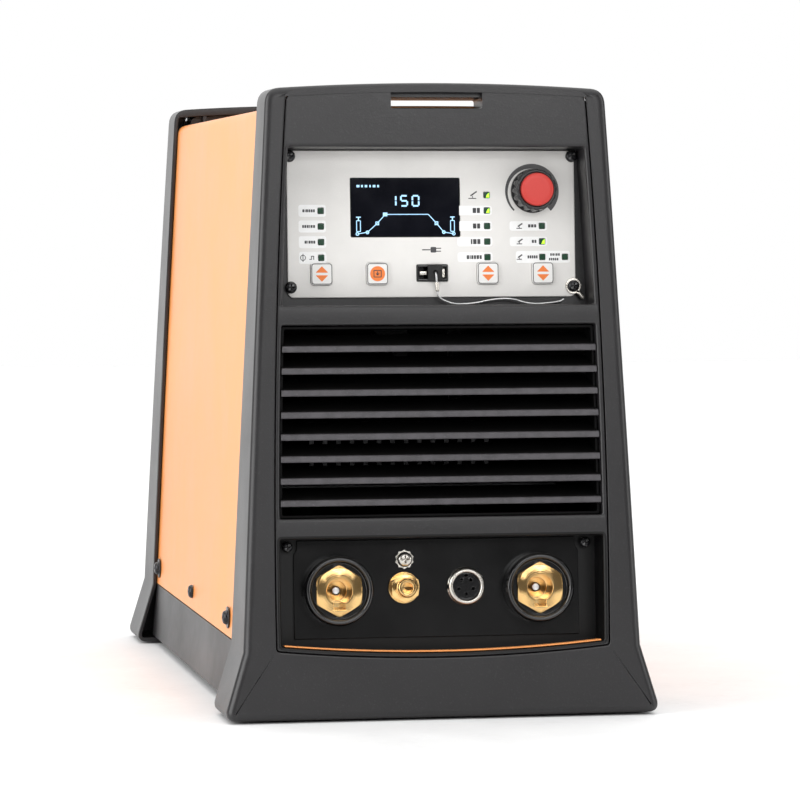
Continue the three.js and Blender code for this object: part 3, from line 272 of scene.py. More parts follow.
def frame_half_width(height):
    share = (height - KINK_HEIGHT) / (CORNER_HEIGHT - KINK_HEIGHT)
    return KINK_HALF + (TOP_HALF - KINK_HALF) * share + 4 * SIDE_BOW * share * (1 - share)


def arch_line(end, top, low, steps=12):
    """Right half of an arch, from its end up to the middle."""
    shares = [1 - i / steps for i in range(steps + 1)]
    return [(end * share, top - (top - low) * share**2) for share in shares]


def frame_outline():
    """The A-shaped outline of an end frame."""
    side_end = CORNER_HEIGHT - CORNER_ROUND
    end_x = frame_half_width(side_end)
    arch_end = end_x - CORNER_ROUND
    arch_low = CORNER_HEIGHT + 0.5
    heights = [KINK_HEIGHT + (side_end - KINK_HEIGHT) * i / 24 for i in range(24)]
    right = (
        line((0, BOTTOM), (FOOT_HALF - FOOT_ROUND, BOTTOM), 8)
        + curve((FOOT_HALF - FOOT_ROUND, BOTTOM), (FOOT_HALF + 1, BOTTOM), (FOOT_HALF, FOOT_HEIGHT), 8)
        + line((FOOT_HALF, FOOT_HEIGHT), (KINK_HALF, KINK_HEIGHT), 4)
        + [(frame_half_width(z), z) for z in heights]
        + curve((end_x, side_end), (end_x - 0.4, CORNER_HEIGHT), (arch_end, arch_low), 8)
        + arch_line(arch_end, ARCH_TOP, arch_low)
    )
    return mirrored(right)


def insert_half_width(height):
    share = (height - INSERT_BOTTOM) / (INSERT_CORNER - INSERT_BOTTOM)
    straight = INSERT_BOTTOM_HALF + (INSERT_TOP_HALF - INSERT_BOTTOM_HALF) * share
    return straight + 4 * INSERT_BOW * share * (1 - share)


def floor_height(x):
    share = x / INSERT_BOTTOM_HALF
    return INSERT_BOTTOM - INSERT_SAG * (1 - share * share)


def insert_outline():
    """The inner moulding's outline, with as many points on each stretch as the frame's."""
    corner = 1.6
    low_x = INSERT_BOTTOM_HALF - corner
    side_end = INSERT_CORNER - INSERT_ROUND
    side_x = insert_half_width(side_end)
    arch_end = INSERT_TOP_HALF - INSERT_ROUND
    arch_low = INSERT_CORNER + 0.2
    first = INSERT_BOTTOM + corner
    heights = [first + (side_end - first) * i / 28 for i in range(28)]
    foot = (low_x, floor_height(low_x))
    right = (
        [(low_x * i / 8, floor_height(low_x * i / 8)) for i in range(8)]
        + curve(foot, (INSERT_BOTTOM_HALF, INSERT_BOTTOM), (insert_half_width(first), first), 8)
        + [(insert_half_width(z), z) for z in heights]
        + curve((side_x, side_end), (INSERT_TOP_HALF, INSERT_CORNER), (arch_end, arch_low), 8)
        + arch_line(arch_end, INSERT_TOP, arch_low)
    )
    return mirrored(right)


def bowed_window(low, high, set_in, corner=1.0, steps=16):
    """A window whose sides follow the moulding's bowed sides."""
    edges = [low + corner, *[low + (high - low) * i / steps for i in range(1, steps)], high - corner]
    low_x = insert_half_width(low) - set_in
    high_x = insert_half_width(high) - set_in
    right = (
        [(0, low)]
        + curve((low_x - corner, low), (low_x, low), (low_x, low + corner), 3)
        + [(insert_half_width(z) - set_in, z) for z in edges]
        + curve((high_x, high - corner), (high_x, high), (high_x - corner, high), 3)[1:]
        + [(high_x - corner, high), (0, high)]
    )
    return mirrored(right)


def connector_window(set_in, corner=1.0):
    """The lower recess: sagging floor, bowed sides and a straight top."""
    low_x = insert_half_width(INSERT_BOTTOM) - set_in
    high_x = insert_half_width(CONNECTOR_TOP) - set_in
    floor_x = low_x - corner
    floor = [(floor_x * i / 12, floor_height(floor_x * i / 12) + FLOOR_RIM) for i in range(12)]
    floor_z = floor_height(floor_x) + FLOOR_RIM
    wall_low = floor_height(low_x) + FLOOR_RIM + corner
    top = CONNECTOR_TOP
    walls = [wall_low + (top - corner - wall_low) * i / 8 for i in range(8)]
    right = (
        floor
        + curve((floor_x, floor_z), (low_x, wall_low - corner), (low_x, wall_low), 3)
        + [(insert_half_width(z) - set_in, z) for z in walls]
        + curve((high_x, top - corner), (high_x, top), (high_x - corner, top), 3)
        + [(high_x - corner, top), (0, top)]
    )
    return mirrored(right)


# ---------- mesh work ----------


def ring(bm, loop, depth):
    """Vertices of a loop at a depth, which may be a function of the height."""
    at = depth if callable(depth) else (lambda z: depth)
    return [bm.verts.new((x, at(z), z)) for x, z in loop]


def bridge(bm, first, second, ink=0, closed=True):
    count = len(first)
    for i in range(count if closed else count - 1):
        k = (i + 1) % count
        bm.faces.new((first[i], first[k], second[k], second[i])).material_index = ink


def fill(bm, rings, ink=0):
    """Fills between an outer ring and the rings of its holes."""
    edges = []
    for verts in rings:
        for i, vert in enumerate(verts):
            edges.append(bm.edges.get((verts[i - 1], vert)) or bm.edges.new((verts[i - 1], vert)))
    made = bmesh.ops.triangle_fill(bm, edges=edges, use_beauty=True, use_dissolve=False)
    for item in made["geom"]:
        if isinstance(item, bmesh.types.BMFace):
            item.material_index = ink


def wall(bm, loop, front, back, edge=0.0, back_edge=0.0, grows=False, ink=0, steps=3):
    """The side of a plate with rounded edges. A hole's loop grows where an outline shrinks."""
    sign = -1 if grows else 1
    stations = []
    for i in range(steps + 1 if edge else 0):
        turn = math.pi / 2 * i / steps
        stations.append((edge * (1 - math.sin(turn)), front + edge * (1 - math.cos(turn))))
    if not edge:
        stations.append((0.0, front))
    for i in range(steps + 1 if back_edge else 0):
        turn = math.pi / 2 * i / steps
        stations.append((back_edge * (1 - math.cos(turn)), back - back_edge * (1 - math.sin(turn))))
    if not back_edge:
        stations.append((0.0, back))
    rings = [ring(bm, inset(loop, sign * amount) if amount else loop, depth) for amount, depth in stations]
    for first, second in zip(rings, rings[1:]):
        bridge(bm, first, second, ink)
    return rings[0], rings[-1]


def plate(bm, outline, holes, front, back, edge=0.0, back_edge=0.0, ink=0, steps=3, hole_edge=None):
    """A closed plate with through holes and rounded edges."""
    inner_edge = edge if hole_edge is None else hole_edge
    sides = [wall(bm, outline, front, back, edge, back_edge, False, ink, steps)]
    sides += [wall(bm, hole, front, back, inner_edge, back_edge, True, ink, steps) for hole in holes]
    fill(bm, [side[0] for side in sides], ink)
    fill(bm, [side[1] for side in sides], ink)


def soften(profile, radius, steps=3):
    """An open profile of (radius, depth) points with its inner corners rounded."""
    points = [tuple(profile[0])]
    for before, here, after in zip(profile, profile[1:], profile[2:]):
        a = Vector(before) - Vector(here)
        b = Vector(after) - Vector(here)
        if a.length < 1e-6 or b.length < 1e-6 or abs(a.angle(b) - math.pi) < 0.05:
            points.append(tuple(here))
            continue
        reach = min(radius, a.length * 0.45, b.length * 0.45)
        start = Vector(here) + a.normalized() * reach
        end = Vector(here) + b.normalized() * reach
        for i in range(steps + 1):
            t = i / steps
            points.append(tuple((1 - t) ** 2 * start + 2 * t * (1 - t) * Vector(here) + t * t * end))
    points.append(tuple(profile[-1]))
    return points


def turn(bm, profile, steps=32, closed=False, ink=0, x=0.0, z=0.0):
    """A profile of (radius, depth) points turned about an axis that runs along the depth."""
    rings = []
    for radius, depth in profile:
        if radius < 1e-6:
            rings.append([bm.verts.new((x, depth, z))])
        else:
            rings.append(ring(bm, circle(radius, steps, x, z), depth))
    pairs = list(zip(rings, rings[1:])) + ([(rings[-1], rings[0])] if closed else [])
    for first, second in pairs:
        if len(first) == 1 and len(second) == 1:
            continue
        if len(first) > 1 and len(second) > 1:
            bridge(bm, first, second, ink)
            continue
        tip, rim = (first[0], second) if len(first) == 1 else (second[0], first)
        for i in range(len(rim)):
            bm.faces.new((tip, rim[i - 1], rim[i])).material_index = ink


def block(bm, low, high, edge=0.2, ink=0):
    """A box with rounded corners and edges."""
    width, height = high[0] - low[0], high[2] - low[2]
    centre = ((low[0] + high[0]) / 2, (low[2] + high[2]) / 2)
    outline = rectangle(width, height, edge, *centre, steps=2)
    plate(bm, outline, [], low[1], high[1], edge * 0.9, edge * 0.9, ink, steps=2)


def sweep(bm, loop, stations, closed_ends=True):
    """A loop of (x, height) points carried along Y through stations of depth."""
    rings = [ring(bm, inset(loop, amount) if amount else loop, depth) for depth, amount in stations]
    for first, second in zip(rings, rings[1:]):
        bridge(bm, first, second)
    if closed_ends:
        fill(bm, [rings[0]])
        fill(bm, [rings[-1]])


def tube(bm, path, radius, sides=10, radii=None):
    """A round tube along points, with closed ends."""
    points = [Vector(p) for p in path]
    rings = []
    side = None
    for i, here in enumerate(points):
        ahead = points[min(i + 1, len(points) - 1)] - points[max(i - 1, 0)]
        ahead.normalize()
        if side is None:
            side = ahead.orthogonal().normalized()
        side = (side - ahead * side.dot(ahead)).normalized()
        other = ahead.cross(side)
        size = radii[i] if radii else radius
        rings.append(
            [
                bm.verts.new(here + (side * math.cos(a) + other * math.sin(a)) * size)
                for a in (2 * math.pi * k / sides for k in range(sides))
            ]
        )
    for first, second in zip(rings, rings[1:]):
        bridge(bm, first, second)
    for end in (rings[0], rings[-1]):
        bm.faces.new(end)


def smooth_path(points, spacing):
    """Catmull-Rom points through a list of points, about a spacing apart."""
    vectors = [Vector(p) for p in points]
    path = []
    for i in range(len(vectors) - 1):
        before = vectors[max(i - 1, 0)]
        start, end = vectors[i], vectors[i + 1]
        after = vectors[min(i + 2, len(vectors) - 1)]
        steps = max(1, round((end - start).length / spacing))
        for k in range(steps):
            t = k / steps
            path.append(
                0.5
                * (
                    2 * start
                    + (end - before) * t
                    + (2 * before - 5 * start + 4 * end - after) * t * t
                    + (3 * start - before - 3 * end + after) * t**3
                )
            )
    path.append(vectors[-1])
    return path


def tidy(bm):
    bmesh.ops.remove_doubles(bm, verts=bm.verts, dist=1e-4)
    bmesh.ops.dissolve_degenerate(bm, edges=bm.edges, dist=1e-5)
    bmesh.ops.recalc_face_normals(bm, faces=bm.faces)


def turned_at(place, angle, axis):
    """A turn about an axis through a place."""
    return Matrix.Translation(place) @ Matrix.Rotation(angle, 4, axis)


def loose_object(name, bm):
    tidy(bm)
    mesh = bpy.data.meshes.new(name)
    bm.to_mesh(mesh)
    bm.free()
    made = bpy.data.objects.new(name, mesh)
    bpy.context.scene.collection.objects.link(made)
    return made


def combined(target, other, operation):
    """Joins or cuts two closed meshes, and gives the result as a bmesh."""
    base = loose_object("base", target)
    tool = loose_object("tool", other)
    step = base.modifiers.new("combine", "BOOLEAN")
    step.operation = operation
    step.solver = "EXACT"
    step.object = tool
    result = base.evaluated_get(bpy.context.evaluated_depsgraph_get())
    bm = bmesh.new()
    bm.from_mesh(result.to_mesh())
    result.to_mesh_clear()
    for spare in (base, tool):
        mesh = spare.data
        bpy.data.objects.remove(spare)
        bpy.data.meshes.remove(mesh)
    return bm


def piece(name, bm, finishes, body="housing", place=WORLD, at=(0, 0, 0), replaces=(), sharp=38):
    """Finishes a mesh drawn in millimetres: smooth shading, finishes, and the CAD body that it rides on."""
    tidy(bm)
    mesh = bpy.data.meshes.new(name)
    bm.to_mesh(mesh)
    bm.free()
    mesh.transform(Matrix.Scale(MM, 4))
    mesh.shade_smooth()
    mesh.set_sharp_from_angle(angle=math.radians(sharp))
    for coat in finishes:
        mesh.materials.append(coat)
    made = bpy.data.objects.new(name, mesh)
    bpy.context.scene.collection.objects.link(made)
    spot = place @ Matrix.Translation(at)
    spot.translation *= MM
    made.matrix_world = spot
    even = made.modifiers.new("Even normals", "WEIGHTED_NORMAL")
    even.keep_sharp = True
    if body:
        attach(made, body)
    if replaces:
        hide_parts(*replaces)
    return made


# ---------- finishes ----------


def add(tree, kind, values=None, **settings):
    """A node with its settings, and with each input set to a value or linked from an output."""
    made = tree.nodes.new(kind)
    for key, value in settings.items():
        setattr(made, key, value)
    for key, value in (values or {}).items():
        if isinstance(value, bpy.types.NodeSocket):
            tree.links.new(value, made.inputs[key])
        else:
            made.inputs[key].default_value = value
    return made


def node_group(name, inputs, outputs):
    """An empty shader node group, and its input and output sockets by name."""
    tree = bpy.data.node_groups.new(name, "ShaderNodeTree")
    for label, kind, default in inputs:
        socket = tree.interface.new_socket(label, in_out="INPUT", socket_type="NodeSocket" + kind)
        socket.default_value = default
    for label, kind in outputs:
        tree.interface.new_socket(label, in_out="OUTPUT", socket_type="NodeSocket" + kind)
    start = tree.nodes.new("NodeGroupInput")
    end = tree.nodes.new("NodeGroupOutput")
    return tree, start.outputs, end.inputs


def effect(name):
    """The node group of an effect, built the first time that it is wanted."""
    return bpy.data.node_groups.get(name) or EFFECTS[name](name)


def use(tree, name, values=None):
    return add(tree, "ShaderNodeGroup", values, node_tree=effect(name))


def maths(tree, operation, *values, **options):
    """The result of a Math node."""
    return add(tree, "ShaderNodeMath", dict(enumerate(values)), operation=operation, **options).outputs[0]


def remapped(tree, value, low=0.0, high=1.0, to_low=0.0, to_high=1.0):
    """A value carried from one range to another, and held within it."""
    limits = {"Value": value, "From Min": low, "From Max": high, "To Min": to_low, "To Max": to_high}
    return add(tree, "ShaderNodeMapRange", limits).outputs[0]


def own_space(tree):
    """Coordinates that ride with the piece."""
    return add(tree, "ShaderNodeTexCoord").outputs["Object"]


def set_surface(tree, shader, colour, gloss, rough, height, depth):
    """Gives a shader its colour, a roughness between two levels and a fine relief."""
    tree.links.new(colour, shader.inputs["Base Color"])
    tree.links.new(remapped(tree, gloss, 0.0, 1.0, *rough), shader.inputs["Roughness"])
    bump = add(tree, "ShaderNodeBump", {"Height": height, "Distance": depth, "Strength": 1.0})
    tree.links.new(bump.outputs[0], shader.inputs["Normal"])


def moulded_grain(name):
    """Spark-eroded mould texture: a height and a fleck mask from two sizes of noise."""
    tree, given, result = node_group(
        name,
        [("Size", "Float", 0.0008), ("Coarse", "Float", 0.3)],
        [("Height", "Float"), ("Fleck", "Float")],
    )
    place = own_space(tree)
    rate = maths(tree, "DIVIDE", 1.0, given["Size"])
    fine = add(tree, "ShaderNodeTexNoise", {"Vector": place, "Scale": rate, "Detail": 2.0,
                                            "Roughness": 0.6})
    slow = maths(tree, "MULTIPLY", rate, 0.23)
    pits = add(tree, "ShaderNodeTexVoronoi", {"Vector": place, "Scale": slow}, feature="SMOOTH_F1")
    mixed = add(
        tree,
        "ShaderNodeMix",
        {"Factor": given["Coarse"], 2: fine.outputs[0], 3: pits.outputs["Distance"]},
        data_type="FLOAT",
    )
    fleck = remapped(tree, fine.outputs[0], low=0.58, high=0.74)
    tree.links.new(mixed.outputs[0], result["Height"])
    tree.links.new(fleck, result["Fleck"])
    return tree


def edge_wear(name):
    """A mask of the edges that rub, broken up by noise."""
    tree, given, result = node_group(
        name,
        [("Start", "Float", 0.52), ("End", "Float", 0.6), ("Breaks", "Float", 180.0)],
        [("Mask", "Float")],
    )
    place = own_space(tree)
    point = add(tree, "ShaderNodeNewGeometry").outputs["Pointiness"]
    edge = remapped(tree, point, low=given["Start"], high=given["End"])
    patches = add(tree, "ShaderNodeTexNoise", {"Vector": place, "Scale": given["Breaks"], "Detail": 3.0})
    broken = remapped(tree, patches.outputs[0], low=0.35, high=0.65)
    mask = maths(tree, "MULTIPLY", edge, broken, use_clamp=True)
    tree.links.new(mask, result["Mask"])
    return tree


def handling_marks(name):
    """Slow patches of handling, and a light dust that lies on upward faces."""
    tree, given, result = node_group(
        name,
        [("Spread", "Float", 14.0), ("Dust", "Float", 0.3)],
        [("Patches", "Float"), ("Dust", "Float")],
    )
    place = own_space(tree)
    cloud = add(
        tree,
        "ShaderNodeTexNoise",
        {"Vector": place, "Scale": given["Spread"], "Detail": 5.0, "Roughness": 0.62, "Distortion": 0.3},
    ).outputs[0]
    even = remapped(tree, cloud, low=0.3, high=0.7)
    normal = add(tree, "ShaderNodeNewGeometry").outputs["Normal"]
    up = add(tree, "ShaderNodeSeparateXYZ", {"Vector": normal}).outputs["Z"]
    flat = remapped(tree, up, low=0.55, high=1.0)
    specks = add(tree, "ShaderNodeTexNoise", {"Vector": place, "Scale": 900.0, "Detail": 2.0}).outputs[0]
    settled = maths(tree, "MULTIPLY", flat, specks)
    dust = maths(tree, "MULTIPLY", settled, given["Dust"], use_clamp=True)
    tree.links.new(even, result["Patches"])
    tree.links.new(dust, result["Dust"])
    return tree


def turning_marks(name):
    """Fine rings about a piece's own axis, as a lathe tool leaves them."""
    tree, given, result = node_group(
        name,
        [("Pitch", "Float", 0.00025)],
        [("Height", "Float"), ("Streak", "Float")],
    )
    place = own_space(tree)
    part = add(tree, "ShaderNodeSeparateXYZ", {"Vector": place}).outputs
    flat = add(tree, "ShaderNodeCombineXYZ", {"X": part["X"], "Y": part["Z"]}).outputs[0]
    radius = add(tree, "ShaderNodeVectorMath", {0: flat}, operation="LENGTH").outputs["Value"]
    both = maths(tree, "ADD", radius, part["Y"])
    count = maths(tree, "DIVIDE", both, given["Pitch"])
    streak = add(tree, "ShaderNodeTexNoise", {"W": count, "Scale": 1.0, "Detail": 2.0},
                 noise_dimensions="1D")
    phase = maths(tree, "MULTIPLY", count, 2 * math.pi)
    wave = maths(tree, "SINE", phase)
    rough = maths(tree, "MULTIPLY_ADD", wave, 0.25, streak.outputs[0])
    tree.links.new(rough, result["Height"])
    tree.links.new(streak.outputs[0], result["Streak"])
    return tree


def brushing(name):
    """Long streaks along the piece's X axis."""
    tree, given, result = node_group(name, [("Width", "Float", 0.0004)], [("Height", "Float")])
    place = own_space(tree)
    stretched = add(tree, "ShaderNodeMapping", {"Vector": place, "Scale": (0.03, 1.0, 1.0)}).outputs[0]
    rate = maths(tree, "DIVIDE", 1.0, given["Width"])
    streak = add(tree, "ShaderNodeTexNoise", {"Vector": stretched, "Scale": rate, "Detail": 3.0})
    tree.links.new(streak.outputs[0], result["Height"])
    return tree


EFFECTS = {
    "Moulded grain": moulded_grain,
    "Edge wear": edge_wear,
    "Handling marks": handling_marks,
    "Turning marks": turning_marks,
    "Brushing": brushing,
}


def new_finish(name):
    """A material with a Principled BSDF, and the two of them."""
    made = bpy.data.materials.new(name)
    made.use_nodes = True
    return made, made.node_tree, made.node_tree.nodes["Principled BSDF"]


def blended(tree, mask, low, high):
    """A colour between two, by a mask."""
    return add(tree, "ShaderNodeMix", {"Factor": mask, 6: low, 7: high}, data_type="RGBA").outputs[2]


def opaque(colour):
    return (*colour[:3], 1.0)


def scaled(colour, amount):
    return tuple(min(1.0, c * amount) for c in colour[:3])


def moulded(
    name,
    colour,
    rough=(0.4, 0.5),
    grain=0.0008,
    depth=0.00004,
    coarse=0.3,
    worn=None,
    wear=(0.52, 0.62),
    fleck=1.25,
    dust=0.3,
    coat=0.0,
    metallic=0.0,
    specular=0.5,
):
    """Moulded, painted or cast surface: grain, flecks, handling patches, settled dust and worn edges."""
    made, tree, shader = new_finish(name)
    surface = use(tree, "Moulded grain", {"Size": grain, "Coarse": coarse}).outputs
    marks = use(tree, "Handling marks", {"Dust": dust}).outputs
    edges = use(tree, "Edge wear", {"Start": wear[0], "End": wear[1]}).outputs["Mask"]
    toned = blended(tree, marks["Patches"], opaque(scaled(colour, 0.92)), opaque(scaled(colour, 1.08)))
    flecked = blended(tree, surface["Fleck"], toned, opaque(scaled(colour, fleck)))
    rubbed = blended(tree, edges, flecked, opaque(worn or scaled(colour, 1.8)))
    dusty = blended(tree, marks["Dust"], rubbed, (0.55, 0.52, 0.48, 1.0))
    set_surface(tree, shader, dusty, marks["Patches"], rough, surface["Height"], depth)
    shader.inputs["Metallic"].default_value = metallic
    shader.inputs["Coat Weight"].default_value = coat
    shader.inputs["Coat Roughness"].default_value = 0.08
    shader.inputs["Specular IOR Level"].default_value = specular
    return made


def machined(name, colour, rough=(0.16, 0.3), pitch=0.00025, depth=0.000012, tarnish=None, spread=60.0):
    """Turned metal: rings, a slow tarnish, and brighter edges."""
    made, tree, shader = new_finish(name)
    rings = use(tree, "Turning marks", {"Pitch": pitch}).outputs
    marks = use(tree, "Handling marks", {"Spread": spread, "Dust": 0.1}).outputs
    edges = use(tree, "Edge wear", {"Start": 0.53, "End": 0.62}).outputs["Mask"]
    toned = blended(tree, marks["Patches"], opaque(colour), opaque(tarnish or scaled(colour, 0.8)))
    streaked = blended(tree, rings["Streak"], toned, opaque(scaled(colour, 1.06)))
    bright = blended(tree, edges, streaked, opaque(scaled(colour, 1.15)))
    set_surface(tree, shader, bright, marks["Patches"], rough, rings["Height"], depth)
    shader.inputs["Metallic"].default_value = 1.0
    return made


def glowing(name, colour, strength, dim):
    """A lit lens or picture line: colour and glow that fall off through a soft cloud."""
    made, tree, shader = new_finish(name)
    marks = use(tree, "Handling marks", {"Spread": 400.0, "Dust": 0.0}).outputs
    toned = blended(tree, marks["Patches"], opaque(dim), opaque(colour))
    tree.links.new(toned, shader.inputs["Base Color"])
    tree.links.new(toned, shader.inputs["Emission Color"])
    shader.inputs["Emission Strength"].default_value = strength
    shader.inputs["Roughness"].default_value = 0.3
    return made


def chosen(name):
    """A colour that the user sets, as red, green and blue."""
    return tuple(getattr(bpy.context.scene.welder_colours, name))


def frame_plastic(name):
    colour = chosen("frame")
    return moulded(name, colour, (0.32, 0.4), 0.001, 0.00007, 0.35, scaled(colour, 1.8), fleck=2.0,
                   dust=0.04)


# Painted shade: the frame plastic darkened to near black for the connector recess walls and ledge, where
# shade falls.
def recess_plastic(name):
    return moulded(name, scaled(chosen("frame"), 0.15), (0.35, 0.5), 0.0011, 0.00003, 0.35, dust=0.02,
                   specular=0.3)


# Painted highlight: the frame plastic brightened fourfold for the louvre noses, in place of the frontal light
# that they catch.
def louvre_edge(name):
    colour = scaled(chosen("frame"), 4.0)
    return moulded(name, colour, (0.3, 0.45), 0.0011, 0.00012, 0.5, worn=scaled(colour, 1.5), fleck=2.6,
                   dust=0.05)


# Painted shade: the frame plastic darkened for the louvres' sloping faces, which the blade above shades. The
# fan rotor inside uses it too.
def grille_plastic(name):
    colour = scaled(chosen("frame"), 0.14)
    return moulded(name, colour, (0.5, 0.6), 0.0009, 0.00006, 0.5, worn=scaled(colour, 2.0), dust=0.01,
                   specular=0.12)


def orange_paint(name):
    colour = chosen("cover")
    return moulded(name, colour, (0.34, 0.42), 0.0011, 0.000015, 0.2, worn=scaled(colour, 1.1), fleck=1.03,
                   dust=0.05)


# The tray's own paint, which also serves as painted shade on the inside of the cover.
def tray_paint(name):
    colour = chosen("frame")
    return moulded(name, colour, (0.36, 0.48), 0.0009, 0.00002, 0.3, fleck=1.4, dust=0.2)


def black_paint(name):
    return moulded(name, (0.003, 0.003, 0.0032), (0.16, 0.28), 0.0012, 0.000008, 0.2, fleck=1.5, dust=0.05,
                   specular=0.3)


def panel_paint(name):
    colour = chosen("panel")
    return moulded(name, colour, (0.4, 0.5), 0.0006, 0.000008, 0.2, worn=colour, fleck=1.02, dust=0.0)


def pad_ink(name):
    return moulded(name, (0.86, 0.86, 0.85), (0.4, 0.5), 0.0005, 0.000004, fleck=1.0, worn=(0.9, 0.9, 0.9),
                   dust=0.0)


def dark_ink(name):
    return moulded(name, (0.03, 0.03, 0.032), (0.45, 0.55), 0.0005, 0.000004, fleck=1.5, dust=0.0)


def grey_ink(name):
    return moulded(name, (0.032, 0.031, 0.032), (0.35, 0.45), 0.0005, 0.000004, fleck=1.2, dust=0.0)


def orange_ink(name):
    colour = (0.83, 0.2, 0.03)
    return moulded(name, colour, (0.4, 0.5), 0.0005, 0.000004, worn=colour, fleck=1.05, dust=0.0)


def button_plastic(name):
    colour = (0.8, 0.79, 0.77)
    return moulded(name, colour, (0.28, 0.38), 0.0005, 0.000006, worn=scaled(colour, 1.05), fleck=1.02,
                   dust=0.02)


def lens_plastic(name):
    colour = (0.006, 0.045, 0.02)
    return moulded(name, colour, (0.12, 0.2), 0.0006, 0.000004, worn=scaled(colour, 2.0), coat=0.3,
                   dust=0.0)


def knob_black(name):
    return moulded(name, (0.009, 0.009, 0.01), (0.2, 0.3), 0.0005, 0.00001, fleck=1.6, dust=0.02)


def knob_red(name):
    colour = chosen("knob")
    return moulded(name, colour, (0.36, 0.46), 0.0004, 0.000012, worn=scaled(colour, 1.1), fleck=1.1,
                   dust=0.03)


def socket_black(name):
    return moulded(name, (0.006, 0.006, 0.0065), (0.1, 0.18), 0.0008, 0.000004, fleck=1.5, dust=0.12,
                   coat=0.5)


def screw_black(name):
    return moulded(name, (0.013, 0.013, 0.015), (0.22, 0.32), 0.0005, 0.000006, worn=(0.12, 0.12, 0.12),
                   metallic=0.4)


def rubber(name):
    return moulded(name, (0.014, 0.014, 0.014), (0.6, 0.75), 0.0007, 0.00003, 0.4, fleck=1.5, dust=0.3,
                   specular=0.35)


def brass(name):
    return machined(name, (0.84, 0.56, 0.24), (0.06, 0.14), tarnish=(0.6, 0.33, 0.11))


def nickel(name):
    return machined(name, (0.66, 0.63, 0.58), (0.18, 0.3), tarnish=(0.5, 0.47, 0.42))


def tether_steel(name):
    return machined(name, (0.62, 0.62, 0.62), (0.25, 0.4), pitch=0.0006, depth=0.00004)


def aluminium(name):
    """Drawn aluminium with streaks along it."""
    made, tree, shader = new_finish(name)
    streaks = use(tree, "Brushing", {"Width": 0.0004}).outputs["Height"]
    marks = use(tree, "Handling marks", {"Dust": 0.2}).outputs
    toned = blended(tree, streaks, (0.07, 0.07, 0.072, 1.0), (0.12, 0.12, 0.122, 1.0))
    set_surface(tree, shader, toned, marks["Patches"], (0.35, 0.55), streaks, 0.00002)
    shader.inputs["Metallic"].default_value = 1.0
    return made


def board_green(name):
    """Circuit board: lacquer over copper tracks."""
    made, tree, shader = new_finish(name)
    place = own_space(tree)
    tracks = add(tree, "ShaderNodeTexVoronoi", {"Vector": place, "Scale": 170.0}, distance="MANHATTAN")
    line_mask = remapped(tree, tracks.outputs["Distance"], low=0.3, high=0.36)
    toned = blended(tree, line_mask, (0.008, 0.06, 0.02, 1.0), (0.02, 0.11, 0.035, 1.0))
    grain = use(tree, "Moulded grain", {"Size": 0.001}).outputs["Height"]
    set_surface(tree, shader, toned, grain, (0.25, 0.4), line_mask, 0.00004)
    return made


def copper_winding(name):
    """Varnished copper wire, turn beside turn, darker in the grooves between turns as painted shade."""
    made, tree, shader = new_finish(name)
    place = own_space(tree)
    turns = add(
        tree,
        "ShaderNodeTexWave",
        {"Vector": place, "Scale": 120.0, "Distortion": 0.4, "Detail": 1.0},
        bands_direction="Z",
    ).outputs["Fac"]
    # Painted shade: the grooves between turns are coloured darker than the crowns.
    toned = blended(tree, turns, (0.16, 0.045, 0.012, 1.0), (0.5, 0.19, 0.07, 1.0))
    set_surface(tree, shader, toned, turns, (0.2, 0.45), turns, 0.0004)
    shader.inputs["Metallic"].default_value = 0.7
    return made


def display_glass(name):
    """Dark glass over a panel that gives a faint blue of its own."""
    made, tree, shader = new_finish(name)
    marks = use(tree, "Handling marks", {"Spread": 45.0, "Dust": 0.05}).outputs
    toned = blended(tree, marks["Patches"], (0.0012, 0.0014, 0.003, 1.0), (0.002, 0.0024, 0.005, 1.0))
    grain = use(tree, "Moulded grain", {"Size": 0.002}).outputs["Height"]
    set_surface(tree, shader, toned, marks["Patches"], (0.05, 0.11), grain, 0.000002)
    tree.links.new(toned, shader.inputs["Emission Color"])
    shader.inputs["Emission Strength"].default_value = 0.4
    shader.inputs["Specular IOR Level"].default_value = 0.25
    return made


def picture_line(name):
    return glowing(name, (0.36, 0.62, 0.85), 0.75, (0.3, 0.54, 0.76))


def lit_lamp(name):
    return glowing(name, chosen("lamp"), 1.6, scaled(chosen("lamp"), 0.6))


def floor_white(name):
    colour = (0.86, 0.86, 0.86)
    return moulded(name, colour, (0.5, 0.6), 0.004, 0.00002, worn=colour, fleck=1.0, dust=0.0, specular=0.3)


FINISHES = {
    builder.__name__: builder
    for builder in (
        frame_plastic,
        recess_plastic,
        grille_plastic,
        louvre_edge,
        orange_paint,
        tray_paint,
        black_paint,
        panel_paint,
        pad_ink,
        dark_ink,
        grey_ink,
        orange_ink,
        button_plastic,
        lens_plastic,
        knob_black,
        knob_red,
        socket_black,
        screw_black,
        rubber,
        brass,
        nickel,
        tether_steel,
        aluminium,
        board_green,
        copper_winding,
        display_glass,
        picture_line,
        lit_lamp,
        floor_white,
    )
}


def finish(name):
    """The material of a finish, built the first time that it is wanted."""
    label = name.replace("_", " ") + " finish"
    return bpy.data.materials.get(label) or FINISHES[name](label)


def part(name, bm, colour, node=None, place=FRONT, at=(0, 0, 0), body="housing", slot=None, sharp=38):
    """A piece of one finish that may stand for a CAD node, on the front unless another place is given."""
    return piece(name, bm, [finish(colour)], body, place, at, [node] if node else [], sharp)


# ---------- end frames and mouldings ----------


def leaning(depth):
    """Depth of a frame ring: the outer end leans back with the face, the inner edge is upright."""
    return lambda z: depth + RAKE * z * (1 - depth / INNER_EDGE)


def on_upright(loop):
    """A loop drawn along the sloping face, as heights above the floor."""
    return [(x, z * math.cos(LEAN)) for x, z in loop]


def frame_hollow():
    arch_end = frame_half_width(CORNER_HEIGHT - CORNER_ROUND) - CORNER_ROUND
    drop = ARCH_TOP - CORNER_HEIGHT - 0.5
    loop = inset(frame_outline(), WALL)
    return [(x, min(z, ARCH_TOP - drop * (x / arch_end) ** 2 - TOP_WALL)) for x, z in loop]


